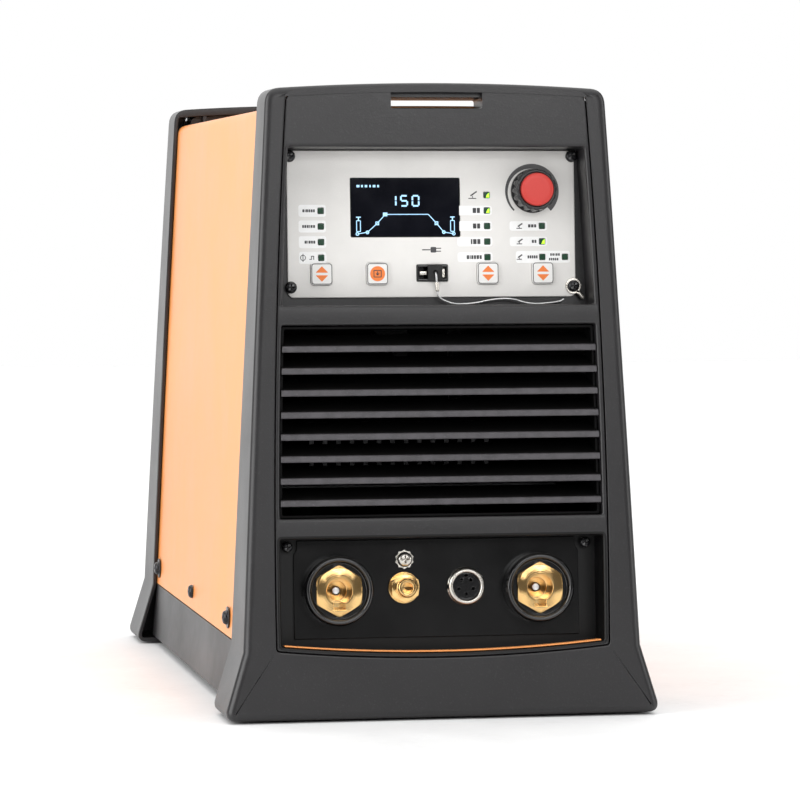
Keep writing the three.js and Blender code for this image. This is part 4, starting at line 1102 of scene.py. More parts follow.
def end_frame(bm, edge, ribs=()):
    """One end frame, as a closed string of rings from the inner edge round the front and back inside."""
    outline = frame_outline()
    opening = on_upright(inset(insert_outline(), -0.5))
    hollow = frame_hollow()
    lip = 0.5
    rings = [ring(bm, inset(outline, lip), leaning(INNER_EDGE)),
             ring(bm, outline, leaning(INNER_EDGE - lip))]
    steps = 8
    for i in range(steps + 1):
        swing = math.pi / 2 * i / steps
        shrink = edge * (1 - math.cos(swing))
        depth = edge * (1 - math.sin(swing))
        rings.append(ring(bm, inset(outline, shrink) if i else outline, leaning(depth)))
    brow = 0.7
    for i in range(4):
        swing = math.pi / 2 * i / 3
        grown = brow * (1 - math.sin(swing))
        depth = brow * (1 - math.cos(swing))
        rings.append(ring(bm, inset(opening, -grown) if grown > 1e-6 else opening, leaning(depth)))
    rings.append(ring(bm, opening, leaning(FACE_THICKNESS)))
    rings.append(ring(bm, hollow, leaning(FACE_THICKNESS)))
    rings.append(ring(bm, hollow, leaning(INNER_EDGE - 0.3)))
    rings.append(ring(bm, inset(hollow, -0.3), leaning(INNER_EDGE)))
    for first, second in zip(rings, rings[1:] + rings[:1]):
        bridge(bm, first, second)
    for x in ribs:
        rib = bmesh.new()
        block(rib, (x - 1.2, INNER_EDGE - 5.8, 315.0), (x + 1.2, INNER_EDGE - 1, 322.0), 0.3)
        bm = combined(bm, rib, "UNION")
    return bm


def build_end_frames():
    edge = bpy.context.scene.welder_sizes.frame_edge / MM
    front = end_frame(bmesh.new(), edge)
    part("front_end_frame", front, "frame_plastic", "front_frame", place=UPRIGHT_FRONT)
    rear = end_frame(bmesh.new(), edge, ribs=(-70, -35, 35, 70))
    part("rear_end_frame", rear, "frame_plastic", "rear_frame", place=UPRIGHT_BACK)


# Material slot of the painted shade inside the connector recess.
RECESS_SHADE = 1


def side_lip(side):
    """A lip on the moulding's side that closes the narrow slit between it and the frame from behind."""
    low, high, steps, start, thick = INSERT_BOTTOM + 6, INSERT_CORNER - 3, 16, 6.0, 1.5
    heights = [low + (high - low) * i / steps for i in range(steps + 1)]
    near = [(side * (insert_half_width(z) - 1.0), z) for z in heights]
    far = [(side * (insert_half_width(z) + 2.0), z) for z in reversed(heights)]
    lip = bmesh.new()
    plate(lip, near + far if side < 0 else list(reversed(near + far)), [], start, start + thick)
    return lip


def moulding(panel_openings, connector_openings):
    """The inner moulding: head with its strap slot, two cross bars, recess walls and ledges."""
    bm = bmesh.new()
    back = SET_BACK + MOULDING_DEPTH
    soft = 1.7
    outer = wall(bm, insert_outline(), SET_BACK, back, 0.8, 0.3)
    panel = wall(bm, bowed_window(*PANEL_WINDOW, RIM), SET_BACK, LEDGE, soft, 0, True)
    grille = wall(bm, bowed_window(*GRILLE_WINDOW, RIM), SET_BACK, back, soft, 0, True)
    # The connector recess's walls and ledge take the painted shade slot.
    connector = wall(bm, connector_window(RIM), SET_BACK, LEDGE, soft, 0, True, RECESS_SHADE)
    fill(bm, [outer[0], panel[0], grille[0], connector[0]])
    ends = [outer[1], grille[1]]
    for recess, openings, ink in ((panel, panel_openings, 0), (connector, connector_openings, RECESS_SHADE)):
        walls = [wall(bm, opening, LEDGE, back, 0.3, 0, True) for opening in openings]
        fill(bm, [recess[1]] + [side[0] for side in walls], ink)
        ends += [side[1] for side in walls]
    fill(bm, ends)
    slot_low, slot_high = SLOT_HEIGHTS
    pocket = bmesh.new()
    plate(pocket, rectangle(2 * SLOT_HALF, 20, 1.0, 0, slot_low + 10), [], -2, SET_BACK + SLOT_POCKET)
    bm = combined(bm, pocket, "DIFFERENCE")
    for side in (-1, 1):
        bm = combined(bm, side_lip(side), "UNION")
    passage = bmesh.new()
    width, tall = 2 * SLOT_HALF, slot_high - slot_low
    plate(passage, rectangle(width - 0.02, tall, 1.0, 0, slot_low + tall / 2 + 0.01), [], -3, back + 5)
    return combined(bm, passage, "DIFFERENCE")


def build_end_mouldings():
    panel_opening = [(-70.5, 219.2), (70.5, 219.2), (70.5, 231), (72.8, 231), (72.8, 244), (70.5, 244),
                     (70.5, 286.6), (-70.5, 286.6)]
    finishes = [finish("frame_plastic"), finish("recess_plastic")]
    front = moulding([panel_opening], [rectangle(144, 39.2, 0.5, 0, 65.6)])
    piece("front_inner_moulding", front, finishes, place=FRONT, replaces=["front_insert"])
    switch = middle("mains_switch_body", BACK)
    gland = middle("cable_gland", BACK)
    inlet = middle("gas_inlet", BACK)
    holes = [circle(10.4, 32, gland.x, gland.z), circle(5.4, 24, inlet.x, inlet.z)]
    rear = moulding([rectangle(30.8, 22.8, 0.8, switch.x, switch.z)], holes)
    piece("rear_inner_moulding", rear, finishes, place=BACK, replaces=["rear_insert"])


# ---------- grilles and trim strip ----------

BLADES = 8
BLADE_PITCH = 11.2
TOP_BLADE = 191.4
BLADE_SECTION = [(0.35, -3.1), (0, -2.75), (0, -0.4), (0.3, -0.05), (1.2, 0.2), (20.2, 6.4), (20.2, 4.6),
                 (3.1, -1.5), (2.7, -2.8), (2.4, -3.1)]


# Material slot of the painted highlight on the blade noses.
NOSE_HIGHLIGHT = 1


def grille():
    """Eight sloping blades in a rim that follows the moulding."""
    bm = bmesh.new()
    low, high = GRILLE_WINDOW
    set_in = RIM + 0.3
    rim = bowed_window(low + 0.3, high - 0.3, set_in)
    plate(bm, rim, [bowed_window(low + 1.7, high - 1.7, set_in + 1.4)], 5, 21.5, 0.3)
    for row in range(BLADES):
        nose = TOP_BLADE - row * BLADE_PITCH
        ends = []
        for side in (-1, 1):
            ends.append(
                [
                    bm.verts.new((side * (insert_half_width(nose + s) - set_in - 0.1), 1 + d, nose + s))
                    for d, s in BLADE_SECTION
                ]
            )
        nose_faces = 4
        bridge(bm, ends[0][: nose_faces + 1], ends[1][: nose_faces + 1], NOSE_HIGHLIGHT, closed=False)
        bridge(bm, ends[0][nose_faces:] + ends[0][:1], ends[1][nose_faces:] + ends[1][:1], closed=False)
        bm.faces.new(ends[0])
        bm.faces.new(ends[1])
    return bm


def build_grilles():
    # Slot 0 carries the louvres' painted shade, and slot 1 the painted highlight on their noses.
    finishes = [finish("grille_plastic"), finish("louvre_edge")]
    piece("front_grille_louvres", grille(), finishes, place=FRONT, replaces=["front_grille"])
    bm = grille()
    low, high = GRILLE_WINDOW
    # A dark sheet behind the rear louvres, put there as painted shade so the inside reads dark through the
    # grilles.
    plate(bm, bowed_window(low + 1, high - 1, RIM + 1), [], 21.6, 23.0, 0.2)
    piece("rear_grille_louvres", bm, finishes, place=BACK, replaces=["rear_grille"])


def build_trim_strip():
    low, high = extent("lower_trim_strip", FRONT)
    half, steps, thick = high.x, 24, 0.7
    xs = [-half + 2 * half * i / steps for i in range(steps + 1)]
    base = FLOOR_RIM + 0.3
    floor = [(x, floor_height(x) + base) for x in xs]
    loop = floor + [(x, z + thick) for x, z in reversed(floor)]
    bm = bmesh.new()
    plate(bm, loop, [], low.y, high.y, 0.25)
    part("lower_trim", bm, "orange_paint", "lower_trim_strip")


# ---------- cover, tray, feet and their screws ----------


def cover_side(height, extra):
    return frame_half_width(height) - COVER_INSET - extra


def cover_line(extra, rounding):
    """Right half of the sheet's line, from the bottom edge up and over to the middle of the roof."""
    roof = COVER_ROOF - extra
    shoulder = roof - rounding
    heights = [COVER_BOTTOM + (shoulder - COVER_BOTTOM) * i / 30 for i in range(30)]
    side = cover_side(shoulder, extra)
    end = side - rounding
    bend = curve((side, shoulder), (side - 0.2, roof), (end, roof + 0.2), 8)
    sides = [(cover_side(z, extra), z) for z in heights]
    return sides + bend + arch_line(end, roof + COVER_CROWN, roof + 0.2, 10)


def build_cover():
    outer = cover_line(0, COVER_ROUND)
    inner = cover_line(COVER_THICKNESS, COVER_ROUND - 1)
    over = outer + [(-x, z) for x, z in reversed(outer[:-1])]
    under = inner + [(-x, z) for x, z in reversed(inner[:-1])]
    loop = over + list(reversed(under))
    low, high = extent("cover")
    bm = bmesh.new()
    ease = 0.3
    sweep(bm, loop, [(low.y, ease), (low.y + ease, 0), (0, 0), (high.y - ease, 0), (high.y, ease)])
    bmesh.ops.recalc_face_normals(bm, faces=bm.faces[:])
    # Faces on the inside of the cover take the dark tray paint as painted shade of the machine's inside.
    for face in bm.faces:
        spot = face.calc_center_median()
        faces_in = face.normal.dot((spot.x, 0, spot.z - COVER_ROOF / 2)) < -1
        face.material_index = 1 if faces_in else 0
    piece("sheet_cover", bm, [finish("orange_paint"), finish("tray_paint")], replaces=["cover"])


def build_tray():
    waist = KINK_HALF - COVER_INSET
    flange = waist - TRAY_JOGGLE
    flange_top = cover_side(TRAY_FLANGE_TOP, TRAY_JOGGLE)
    skirt = waist + 2.6
    t = TRAY_THICKNESS
    fold, step = COVER_BOTTOM - 0.9, COVER_BOTTOM - 0.2
    outside = [(skirt - 0.8, TRAY_BOTTOM), (skirt - 0.2, TRAY_BOTTOM + 0.3), (skirt, TRAY_BOTTOM + 1),
               (waist, fold),
               (flange, step), (flange_top, TRAY_FLANGE_TOP)]
    inside = [(flange_top - t, TRAY_FLANGE_TOP), (flange - t, step), (waist - t, fold),
              (skirt - t, TRAY_BOTTOM + t + 0.5), (skirt - t - 0.5, TRAY_BOTTOM + t)]
    right = outside + inside
    loop = right + [(-x, z) for x, z in reversed(right)]
    low, high = extent("base_tray")
    bm = bmesh.new()
    sweep(bm, loop, [(low.y, 0.3), (low.y + 0.3, 0), (high.y - 0.3, 0), (high.y, 0.3)])
    part("folded_tray", bm, "tray_paint", "base_tray", place=WORLD, sharp=30)


def build_feet():
    for end in ("front", "rear"):
        for side in ("left", "right"):
            node = f"foot_{end}_{side}"
            low, high = extent(node)
            centre = (low + high) / 2
            radius = (high.x - low.x) / 2
            tall = high.z
            profile = [(0, 0.8), (2.4, 0.8), (2.8, 0), (radius - 1, 0), (radius, 1), (radius - 0.8, tall),
                       (0, tall)]
            bm = bmesh.new()
            turn(bm, soften(profile, 0.6), 40)
            upright = turned_at((centre.x, centre.y, 0), math.pi / 2, "X")
            part("rubber_" + node, bm, "rubber", node, place=upright)


def cross_recess(bm, radius, front, depth):
    """Cuts a cross recess into a head whose top is at a depth."""
    bar, slot = radius * 0.56, radius * 0.13
    for along, across in ((bar, slot), (slot, bar)):
        tool = bmesh.new()
        rows = []
        for d, share in ((front - 1, 1.15), (front + depth, 0.45)):
            rows.append(ring(tool, rectangle(2 * along * share, 2 * across * share), d))
        bridge(tool, rows[0], rows[1])
        fill(tool, [rows[0]])
        fill(tool, [rows[1]])
        bm = combined(bm, tool, "DIFFERENCE")
    return bm


def pan_head(radius, tall, shank=1.6, length=3.0):
    """A cross-recessed pan head with its seat at depth zero and its top towards the front."""
    bm = bmesh.new()
    dome = [(0, -tall), (radius * 0.5, -tall * 0.97), (radius * 0.78, -tall * 0.82),
            (radius * 0.94, -tall * 0.5),
            (radius, -tall * 0.15), (radius, 0), (shank, 0), (shank, length), (0, length)]
    turn(bm, soften(dome, radius * 0.1), 36)
    return cross_recess(bm, radius, -tall, tall * 0.75)


HEAD_TALL = 2.4
WASHER_TALL = 0.9


def button_head(has_washer):
    """A cover screw with its seat at depth zero, its hexagon socket towards the outside."""
    bm = bmesh.new()
    washer = WASHER_TALL if has_washer else 0.0
    rim = [(5.8, 0), (5.8, -WASHER_TALL)] if has_washer else []
    top = -HEAD_TALL - washer
    head = [(0, top), (1.9, top), (3.0, -2.0 - washer), (3.7, -1.0 - washer), (3.9, -washer)]
    profile = head + list(reversed(rim)) + [(1.5, 0), (1.5, 7), (0, 7)]
    turn(bm, soften(profile, 0.3), 36)
    socket = bmesh.new()
    plate(socket, regular(6, 1.35), [], -4 - washer, -1.0 - washer)
    return combined(bm, socket, "DIFFERENCE")


def build_cover_screws():
    for side, sign in (("left", -1), ("right", 1)):
        for row in (1, 2, 3):
            node = f"cover_screw_{side}_{row}"
            low, high = extent(node)
            has_washer = high.z - low.z > 9
            top = low.x if sign < 0 else high.x
            seat = top - sign * (HEAD_TALL + (WASHER_TALL if has_washer else 0.0))
            centre = (low + high) / 2
            turned = turned_at((seat, centre.y, centre.z), sign * math.pi / 2, "Z")
            part("head_of_" + node, button_head(has_washer), "screw_black", node, place=turned)


# ---------- control panel ----------

PANEL_FACE = 18.5
PANEL_THICKNESS = 1.5
PANEL_HALF = 75.5
PANEL_HEIGHTS = (216.8, 292.6)
PRINT_PROUD = 0.03
OVERPRINT = PANEL_FACE - PRINT_PROUD
KEY_COLUMNS = {
    "left_mode_button": ("left_mode_key", -58, "arrows"),
    "save_button": ("save_key", -29, "disc"),
    "trigger_mode_button": ("trigger_mode_key", 29, "arrows"),
    "process_mode_button": ("process_mode_key", 58, "arrows"),
}
KEY_HEIGHT = 229.0
KEY_SIDE = 11.4
DISPLAY = (-13.8, 263.2, 57.6, 30.8)
ENCODER = (53.0, 271.5)


def lamp_height(row):
    return LAMP_TOP - row * LAMP_STEP


def printed(bm, loop, holes=(), face=PANEL_FACE, proud=PRINT_PROUD, ink=0):
    """A layer of ink on a face."""
    plate(bm, loop, list(holes), face - proud, face + 0.02, ink=ink)


def build_control_panel():
    width, tall = 2 * PANEL_HALF, PANEL_HEIGHTS[1] - PANEL_HEIGHTS[0]
    centre = sum(PANEL_HEIGHTS) / 2
    x, s, w, h = DISPLAY
    usb = middle("usb_socket", FRONT)
    key_hole = KEY_SIDE + 0.36
    holes = [rectangle(w, h, 0.8, x, s), rectangle(16.6, 9, 0.7, usb.x, usb.z), circle(4.4, 24, *ENCODER)]
    holes += [rectangle(key_hole, key_hole, 2, column, KEY_HEIGHT) for _, column, _ in KEY_COLUMNS.values()]
    holes += [lamp_opening(column, row) for column, row in LAMP_PLACES]
    bm = bmesh.new()
    outline = rectangle(width, tall, 3, 0, centre, 8)
    plate(bm, outline, holes, PANEL_FACE, PANEL_FACE + PANEL_THICKNESS, 0.5, hole_edge=0.12)
    part("control_panel_plate", bm, "panel_paint", "control_panel")
    build_pads()
    build_legends()
    build_encoder_scale()


def lamp_opening(column, row):
    """The hole that a lamp shows through."""
    return rectangle(LAMP_SIDE + 0.5, LAMP_SIDE + 0.5, 0.5, column, lamp_height(row), 2)


def pad_places():
    """Lamp column and row, left edge and height of each white pad beside the lamps."""
    left = [(-58, row, -69.55, 6.2) for row in (1, 2, 3, 4)]
    centre = [(29, row, 13.3, 4.9) for row in (1, 2, 3, 4)]
    right = [(58, row, 40.9, 4.9) for row in (2, 3)]
    return left + centre + right


def build_pads():
    bm = bmesh.new()
    margin = LAMP_SIDE / 2 + 1.2
    for column, row, left_edge, tall in pad_places():
        right_edge = column + margin
        cell = rectangle(right_edge - left_edge, tall, 1.2, (left_edge + right_edge) / 2, lamp_height(row))
        printed(bm, cell, [lamp_opening(column, row)])
    holes = [lamp_opening(column, 4) for column in (58, 70)]
    printed(bm, rectangle(28.6, 6.2, 1.2, 58.3, lamp_height(4)), holes)
    part("legend_pads", bm, "pad_ink", slot="panel_paint")


def dashes(bm, right, height, widths, tall=1.5, space=0.35, face=OVERPRINT, ink=0):
    """A row of blank blocks that ends at x = right, where a legend would stand."""
    x = right
    for width in reversed(widths):
        printed(bm, rectangle(width, tall, 0.15, x - width / 2, height, 1), face=face, ink=ink)
        x -= width + space


def build_legends():
    bm = bmesh.new()
    edge = LAMP_SIDE / 2 + 1.6
    left_rows = ((1.0, 0.4, 1.0, 0.9, 1.0, 0.9), (0.9, 1.0, 1.0, 0.5, 1.0, 1.0), (1.2, 0.4, 1.0, 0.9, 1.0))
    for row, widths in enumerate(left_rows, 1):
        dashes(bm, -58 - edge, lamp_height(row), widths, 1.5, 0.25)
    ring_mark(bm, -67.5, lamp_height(4), 1.5, 0.35)
    printed(bm, rectangle(0.4, 4.2, x=-67.5, z=lamp_height(4)), face=OVERPRINT)
    step_mark(bm, -62.6, lamp_height(4), 1.6)
    for row, widths in ((1, (1.8, 1.6)), (2, (1.8, 1.6)), (3, (0.8, 1.8, 1.6))):
        dashes(bm, 29 - edge - 0.6, lamp_height(row), widths, 2.6, 0.4)
    dashes(bm, 29 - edge, lamp_height(4), (1.3, 0.5, 1.1, 1.1, 1.3, 1.1), 2.0, 0.3)
    spark_mark(bm, 21.8, lamp_height(0), 2.4)
    for row, widths in ((2, (1.3, 1.3, 1.1)), (3, (1.1, 1.0))):
        spark_mark(bm, 46.2, lamp_height(row), 1.7)
        dashes(bm, 58 - edge, lamp_height(row), widths, 1.6, 0.3)
    spark_mark(bm, 46.0, lamp_height(4), 1.6)
    dashes(bm, 58 - edge + 0.5, lamp_height(4), (0.9, 0.9, 0.8, 0.9, 0.8), 1.6, 0.25)
    dashes(bm, 70 - edge + 0.3, lamp_height(4) + 1.2, (0.9, 0.9, 0.5, 0.9, 0.9), 1.3, 0.25)
    dashes(bm, 70 - edge - 0.5, lamp_height(4) - 1.2, (0.8, 0.8, 0.8, 0.8, 0.8), 1.3, 0.25)
    socket_mark(bm)
    part("legend_marks", bm, "dark_ink", slot="panel_paint")


def ring_mark(bm, x, z, radius, width):
    printed(bm, circle(radius, 24, x, z), [circle(radius - width, 24, x, z)], face=OVERPRINT)


def stroke(bm, start, end, width, face=PANEL_FACE, ink=0):
    """A straight stroke with square ends."""
    a, b = Vector(start), Vector(end)
    side = (b - a).normalized()
    side = Vector((-side.y, side.x)) * (width / 2)
    printed(bm, [tuple(a - side), tuple(b - side), tuple(b + side), tuple(a + side)], face=face, ink=ink)


def step_mark(bm, x, z, size):
    """A small pulse sign: low, high, low."""
    high = OVERPRINT
    stroke(bm, (x - size, z - size * 0.5), (x - size * 0.3, z - size * 0.5), 0.4, high)
    stroke(bm, (x - size * 0.3, z - size * 0.6), (x - size * 0.3, z + size * 0.6), 0.4, high)
    stroke(bm, (x - size * 0.3, z + size * 0.5), (x + size * 0.4, z + size * 0.5), 0.4, high)
    stroke(bm, (x + size * 0.4, z + size * 0.6), (x + size * 0.4, z - size * 0.6), 0.4, high)


def spark_mark(bm, x, z, size):
    """A small torch sign: a slanting handle over a base line."""
    high = OVERPRINT
    stroke(bm, (x - size * 0.55, z - size * 0.2), (x + size * 0.85, z + size * 0.75), 0.7, high)
    stroke(bm, (x - size, z - size * 0.75), (x + size * 0.7, z - size * 0.75), 0.45, high)
    stroke(bm, (x - size * 0.1, z - size * 0.7), (x - size * 0.1, z - size * 0.2), 0.35, high)


def socket_mark(bm):
    """A plain plug sign over the data socket: a body, two blades and a lead."""
    x, z = 0.2, 241.3
    stroke(bm, (x - 5.5, z), (x - 1.2, z), 0.55)
    printed(bm, rectangle(3.0, 2.9, 0.5, x + 0.4, z, 2))
    stroke(bm, (x + 1.9, z + 0.75), (x + 4.4, z + 0.75), 0.5)
    stroke(bm, (x + 1.9, z - 0.75), (x + 4.4, z - 0.75), 0.5)


def build_encoder_scale():
    """The printed ring about the knob, which swells to one side and stops at a gap below."""
    bm = bmesh.new()
    steps, reach = 72, 14.2
    start, turn_by = math.radians(-46), math.radians(272)
    x, z = ENCODER
    outer, inner = [], []
    for i in range(steps + 1):
        t = i / steps
        angle = start + t * turn_by
        width = 4.3 - 3.5 * t
        outer.append(polar(reach, angle, x, z))
        inner.append(polar(reach - width, angle, x, z))
    printed(bm, outer + list(reversed(inner)))
    part("encoder_scale", bm, "grey_ink", slot="panel_paint")


# ---------- display ----------

DISPLAY_FACE = PANEL_FACE - 0.05
SEGMENTS = {"a": (0, 1), "b": (1, 0.5), "c": (1, -0.5), "d": (0, -1), "e": (-1, -0.5), "f": (-1, 0.5),
            "g": (0, 0)}
DIGITS = {"0": "abcdef", "1": "bc", "5": "acdfg"}


def digit(bm, figure, x, z, width, tall, stroke_width, face):
    """A figure made of seven strokes."""
    for name in DIGITS[figure]:
        across, up = SEGMENTS[name]
        if across == 0:
            centre = z + up * tall / 2
            reach = width / 2 - stroke_width * 0.3
            stroke(bm, (x - reach, centre), (x + reach, centre), stroke_width, face)
        else:
            side = x + across * width / 2
            centre = z + up * tall / 2
            reach = tall / 4 - stroke_width * 0.3
            stroke(bm, (side, centre - reach), (side, centre + reach), stroke_width, face)


def build_display():
    x, z, width, tall = DISPLAY
    bm = bmesh.new()
    plate(bm, rectangle(width - 0.7, tall - 0.7, 0.5, x, z), [], DISPLAY_FACE, PANEL_FACE + 1.8, 0.3)
    part("display_glass_plate", bm, "display_glass", "display_window")
    bm = bmesh.new()
    face = DISPLAY_FACE
    for i, figure in enumerate("150"):
        digit(bm, figure, x - 6.6 + i * 6.0, z + 3.4, 3.3, 5.2, 0.85, face)
    for i, wide in enumerate((1.6, 1.0, 1.3, 0.8, 1.4, 1.0)):
        printed(bm, rectangle(wide, 1.2, x=x - 24.6 + i * 2.1, z=z + 11.0), face=face)
    rise = [(25.2, -13.6), (20.0, -12.8), (14.8, -8.2), (10.6, -3.6)]
    fall = [(px + 1.4, pz) for px, pz in reversed(rise[2:])] + rise[1::-1]
    points = [(-px, pz) for px, pz in rise] + fall
    for start, end in zip(points, points[1:]):
        stroke(bm, (x + start[0], z + start[1]), (x + end[0], z + end[1]), 0.4, face)
    above = face - PRINT_PROUD
    for px, pz in (points[2], points[-3]):
        square = rectangle(1.9, 1.9, x=x + px, z=z + pz)
        printed(bm, square, [inset(square, 0.45)], face=above)
    for px, pz in points[:2] + points[-2:]:
        printed(bm, circle(0.95, 16, x + px, z + pz), [circle(0.5, 16, x + px, z + pz)], face=above)
    printed(bm, rectangle(2.3, 1.9, x=x + points[3][0], z=z + points[3][1]), face=above)
    for side in (-1, 1):
        bottle = x + side * 24.6
        body = rectangle(2.4, 6.0, 0.5, bottle, z - 9.6)
        printed(bm, body, [inset(body, 0.4)], face=face)
        stroke(bm, (bottle, z - 6.6), (bottle, z - 5.2), 0.6, face)
        stroke(bm, (bottle - 1.2, z - 5.0), (bottle + 1.2, z - 5.0), 0.5, face)
    part("display_picture", bm, "picture_line", slot="display_glass")


# ---------- keys, lamps and encoder knob ----------


def build_keys():
    for node, (body, column, sign) in KEY_COLUMNS.items():
        face = extent(node, FRONT)[0].y
        bm = bmesh.new()
        plate(bm, rectangle(KEY_SIDE, KEY_SIDE, 1.8, steps=6), [], face, face + 3.4, 0.3, steps=4)
        plate(bm, rectangle(KEY_SIDE + 1.6, KEY_SIDE + 1.6, 1.0), [], face + 3.3, face + 4.3, 0.1)
        place = (column, 0, KEY_HEIGHT)
        part(body + "_cap", bm, "button_plastic", node, at=place, body=body)
        bm = bmesh.new()
        border = rectangle(KEY_SIDE - 0.62, KEY_SIDE - 0.62, 1.5, steps=6)
        printed(bm, border, [inset(border, 0.4)], face=face, ink=0)
        if sign == "arrows":
            for way in (-1, 1):
                corners = [(-3.3, way * 0.65), (3.3, way * 0.65), (0, way * 3.95)]
                corners = corners if way > 0 else list(reversed(corners))
                printed(bm, rounded(corners, 0.15, 2), face=face, ink=1)
        else:
            printed(bm, circle(3.9, 36), face=face, ink=1)
            slip = face - PRINT_PROUD
            outer = rectangle(4.2, 3.8, 0.4)
            printed(bm, outer, [inset(outer, 0.4)], face=slip, ink=0)
            stroke(bm, (0, 1.2), (0, -0.6), 0.45, slip)
            stroke(bm, (-0.8, 0.2), (0.05, -0.75), 0.45, slip)
            stroke(bm, (0.8, 0.2), (-0.05, -0.75), 0.45, slip)
        piece(body + "_marks", bm, [finish("dark_ink"), finish("orange_ink")], body, FRONT, place)


def build_lamps():
    finishes = [finish("lens_plastic"), finish("lit_lamp")]
    dark_lamps = [place for place in LAMP_PLACES if place not in LIT_LAMPS]
    for name, places in (("lamp_lenses", dark_lamps), ("lit_lamp_lenses", LIT_LAMPS)):
        bm = bmesh.new()
        for column, row in sorted(places):
            z = lamp_height(row)
            square = rectangle(LAMP_SIDE, LAMP_SIDE, 0.4, column, z, 2)
            plate(bm, square, [], PANEL_FACE - 0.25, PANEL_FACE - 0.12, 0.08)
            if (column, row) in LIT_LAMPS:
                edge = column + 1.3
                glow = [(column - 0.5, z - 1.3), (edge, z - 1.3), (edge, z + 1.1), (column + 0.4, z + 0.5)]
                plate(bm, glow, [], PANEL_FACE - 0.28, PANEL_FACE - 0.24, ink=1)
        piece(name, bm, finishes, place=FRONT)
    dress("light_guide", "lens_plastic")
    dress("control_board", "board_green")


def build_encoder_knob():
    x, z = ENCODER
    bm = bmesh.new()
    base = [(0, 17.7), (11.2, 17.7), (11.4, 17.5), (11.4, 16.8), (11.2, 16.5), (0, 16.5)]
    turn(bm, base, 64)
    flutes, steps = 16, 160

    def skirt(radius, depth, groove):
        points = []
        for i in range(steps):
            angle = 2 * math.pi * i / steps
            dip = groove * (0.5 - 0.5 * math.cos(flutes * angle)) ** 2
            points.append(polar(radius - dip, angle))
        return ring(bm, points, depth)

    stations = [(10.6, 16.55, 0.0), (11.0, 16.4, 0.2), (11.0, 15.9, 0.75), (10.85, 8.2, 0.75),
                (10.75, 7.2, 0.6),
                (10.45, 6.6, 0.35), (9.9, 6.35, 0.1), (9.3, 6.3, 0.0), (8.95, 6.45, 0.0), (8.85, 6.8, 0.0),
                (8.85, 7.4, 0.0)]
    rings = [skirt(*station) for station in stations]
    for first, second in zip(rings, rings[1:]):
        bridge(bm, first, second)
    fill(bm, [rings[0]])
    fill(bm, [rings[-1]])
    part("encoder_knob_skirt", bm, "knob_black", "encoder_knob", at=(x, 0, z), body="encoder", sharp=50)
    bm = bmesh.new()
    turn(bm, soften([(0, 7.2), (8.5, 7.2), (8.5, 4.3), (8.0, 3.6), (6.4, 3.3), (0, 3.2)], 0.5, 5), 64)
    part("encoder_knob_cap", bm, "knob_red", "knob_cap", at=(x, 0, z), body="encoder")


# ---------- data socket, dust plug and tether ----------


def on_face(point):
    """A face place in millimetres, in the machine's frame and in metres."""
    return tuple((FRONT @ Vector(point)) * MM)


def tether_route():
    return [Vector(on_face(point)) for point in smooth_path(TETHER_PATH, 0.8)]


def build_tether():
    route = tether_route()
    bm = bmesh.new()
    tube(bm, [point / MM for point in route], TETHER_RADIUS, 10)
    wire = part("plug_tether_wire", bm, "tether_steel", "plug_tether", place=WORLD, body=None,
                slot="nickel")
    lug = build_lug()
    crimp = build_crimp()
    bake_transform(wire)


def build_crimp():
    """The sleeve that closes the wire's loop below the plug."""
    bm = bmesh.new()
    path = [Vector(p) for p in smooth_path(TETHER_PATH[4:7], 0.6)]
    count = len(path)
    radii = [1.0 - 0.25 * abs(2 * i / (count - 1) - 1) ** 6 for i in range(count)]
    tube(bm, path, 1.0, 16, radii)
    return part("tether_crimp", bm, "nickel")


def build_lug():
    """A ring terminal: a flat eye under the screw and a rolled barrel on the wire."""
    x, z = 74.0, 222.2
    back = extent("tether_lug", FRONT)[1].y
    bm = bmesh.new()
    plate(bm, circle(4.1, 40), [circle(2.0, 28)], back - 0.7, back, 0.12)
    angle = math.radians(-142)
    way = Vector((math.sin(-angle), 0, math.cos(angle)))
    start = Vector((0, back - 0.35, 0)) + way * 3.2
    barrel = [start + way * t for t in (0, 0.8, 1.4, 4.4, 4.9)]
    for point, lift in zip(barrel, (0.1, 0.5, 0.9, 0.9, 0.9)):
        point.y -= lift
    tube(bm, barrel, 1.2, 18, (0.5, 0.9, 1.2, 1.2, 1.1))
    return part("tether_ring_lug", bm, "nickel", "tether_lug", at=(x, 0, z))


def build_data_socket():
    low, high = extent("usb_socket", FRONT)
    centre = (low + high) / 2
    width, tall = high.x - low.x, high.z - low.z
    bm = bmesh.new()
    outer = rectangle(width, tall, 0.6)
    mouth = rectangle(width - 1.8, tall - 1.9, 0.4)
    first = wall(bm, outer, low.y, high.y, 0.3)
    inner = wall(bm, mouth, low.y, low.y + 6, 0.2, 0, True)
    fill(bm, [first[0], inner[0]])
    fill(bm, [inner[1]])
    fill(bm, [first[1]])
    place = (centre.x, 0, centre.z)
    part("data_socket_frame", bm, "socket_black", "usb_socket", at=place)
    bm = bmesh.new()
    plate(bm, rectangle(5.0, 4.4, 0.2, 4.2, 0), [], low.y + 1.0, low.y + 5.5, 0.15)
    block(bm, (-6.4, low.y + 1.6, -0.9), (-2.6, low.y + 5.6, 0.9), 0.2)
    part("data_socket_contacts", bm, "nickel", at=place)


def build_dust_plug():
    low, high = extent("usb_dust_plug", FRONT)
    centre = (low + high) / 2
    bm = bmesh.new()
    plate(bm, rectangle(high.x - low.x, high.z - low.z, 0.7), [], low.y, low.y + 1.9, 0.35)
    plate(bm, rectangle(6, 5.2, 0.4), [], low.y + 1.8, high.y, 0.2)
    eye = bmesh.new()
    plate(eye, circle(1.2, 28, 0, 0.3), [], low.y - 1, low.y + 1.6)
    bm = combined(bm, eye, "DIFFERENCE")
    part("data_socket_dust_plug", bm, "rubber", "usb_dust_plug", at=(centre.x, 0, centre.z),
         body="dust_plug")


# ---------- screws on the front ----------


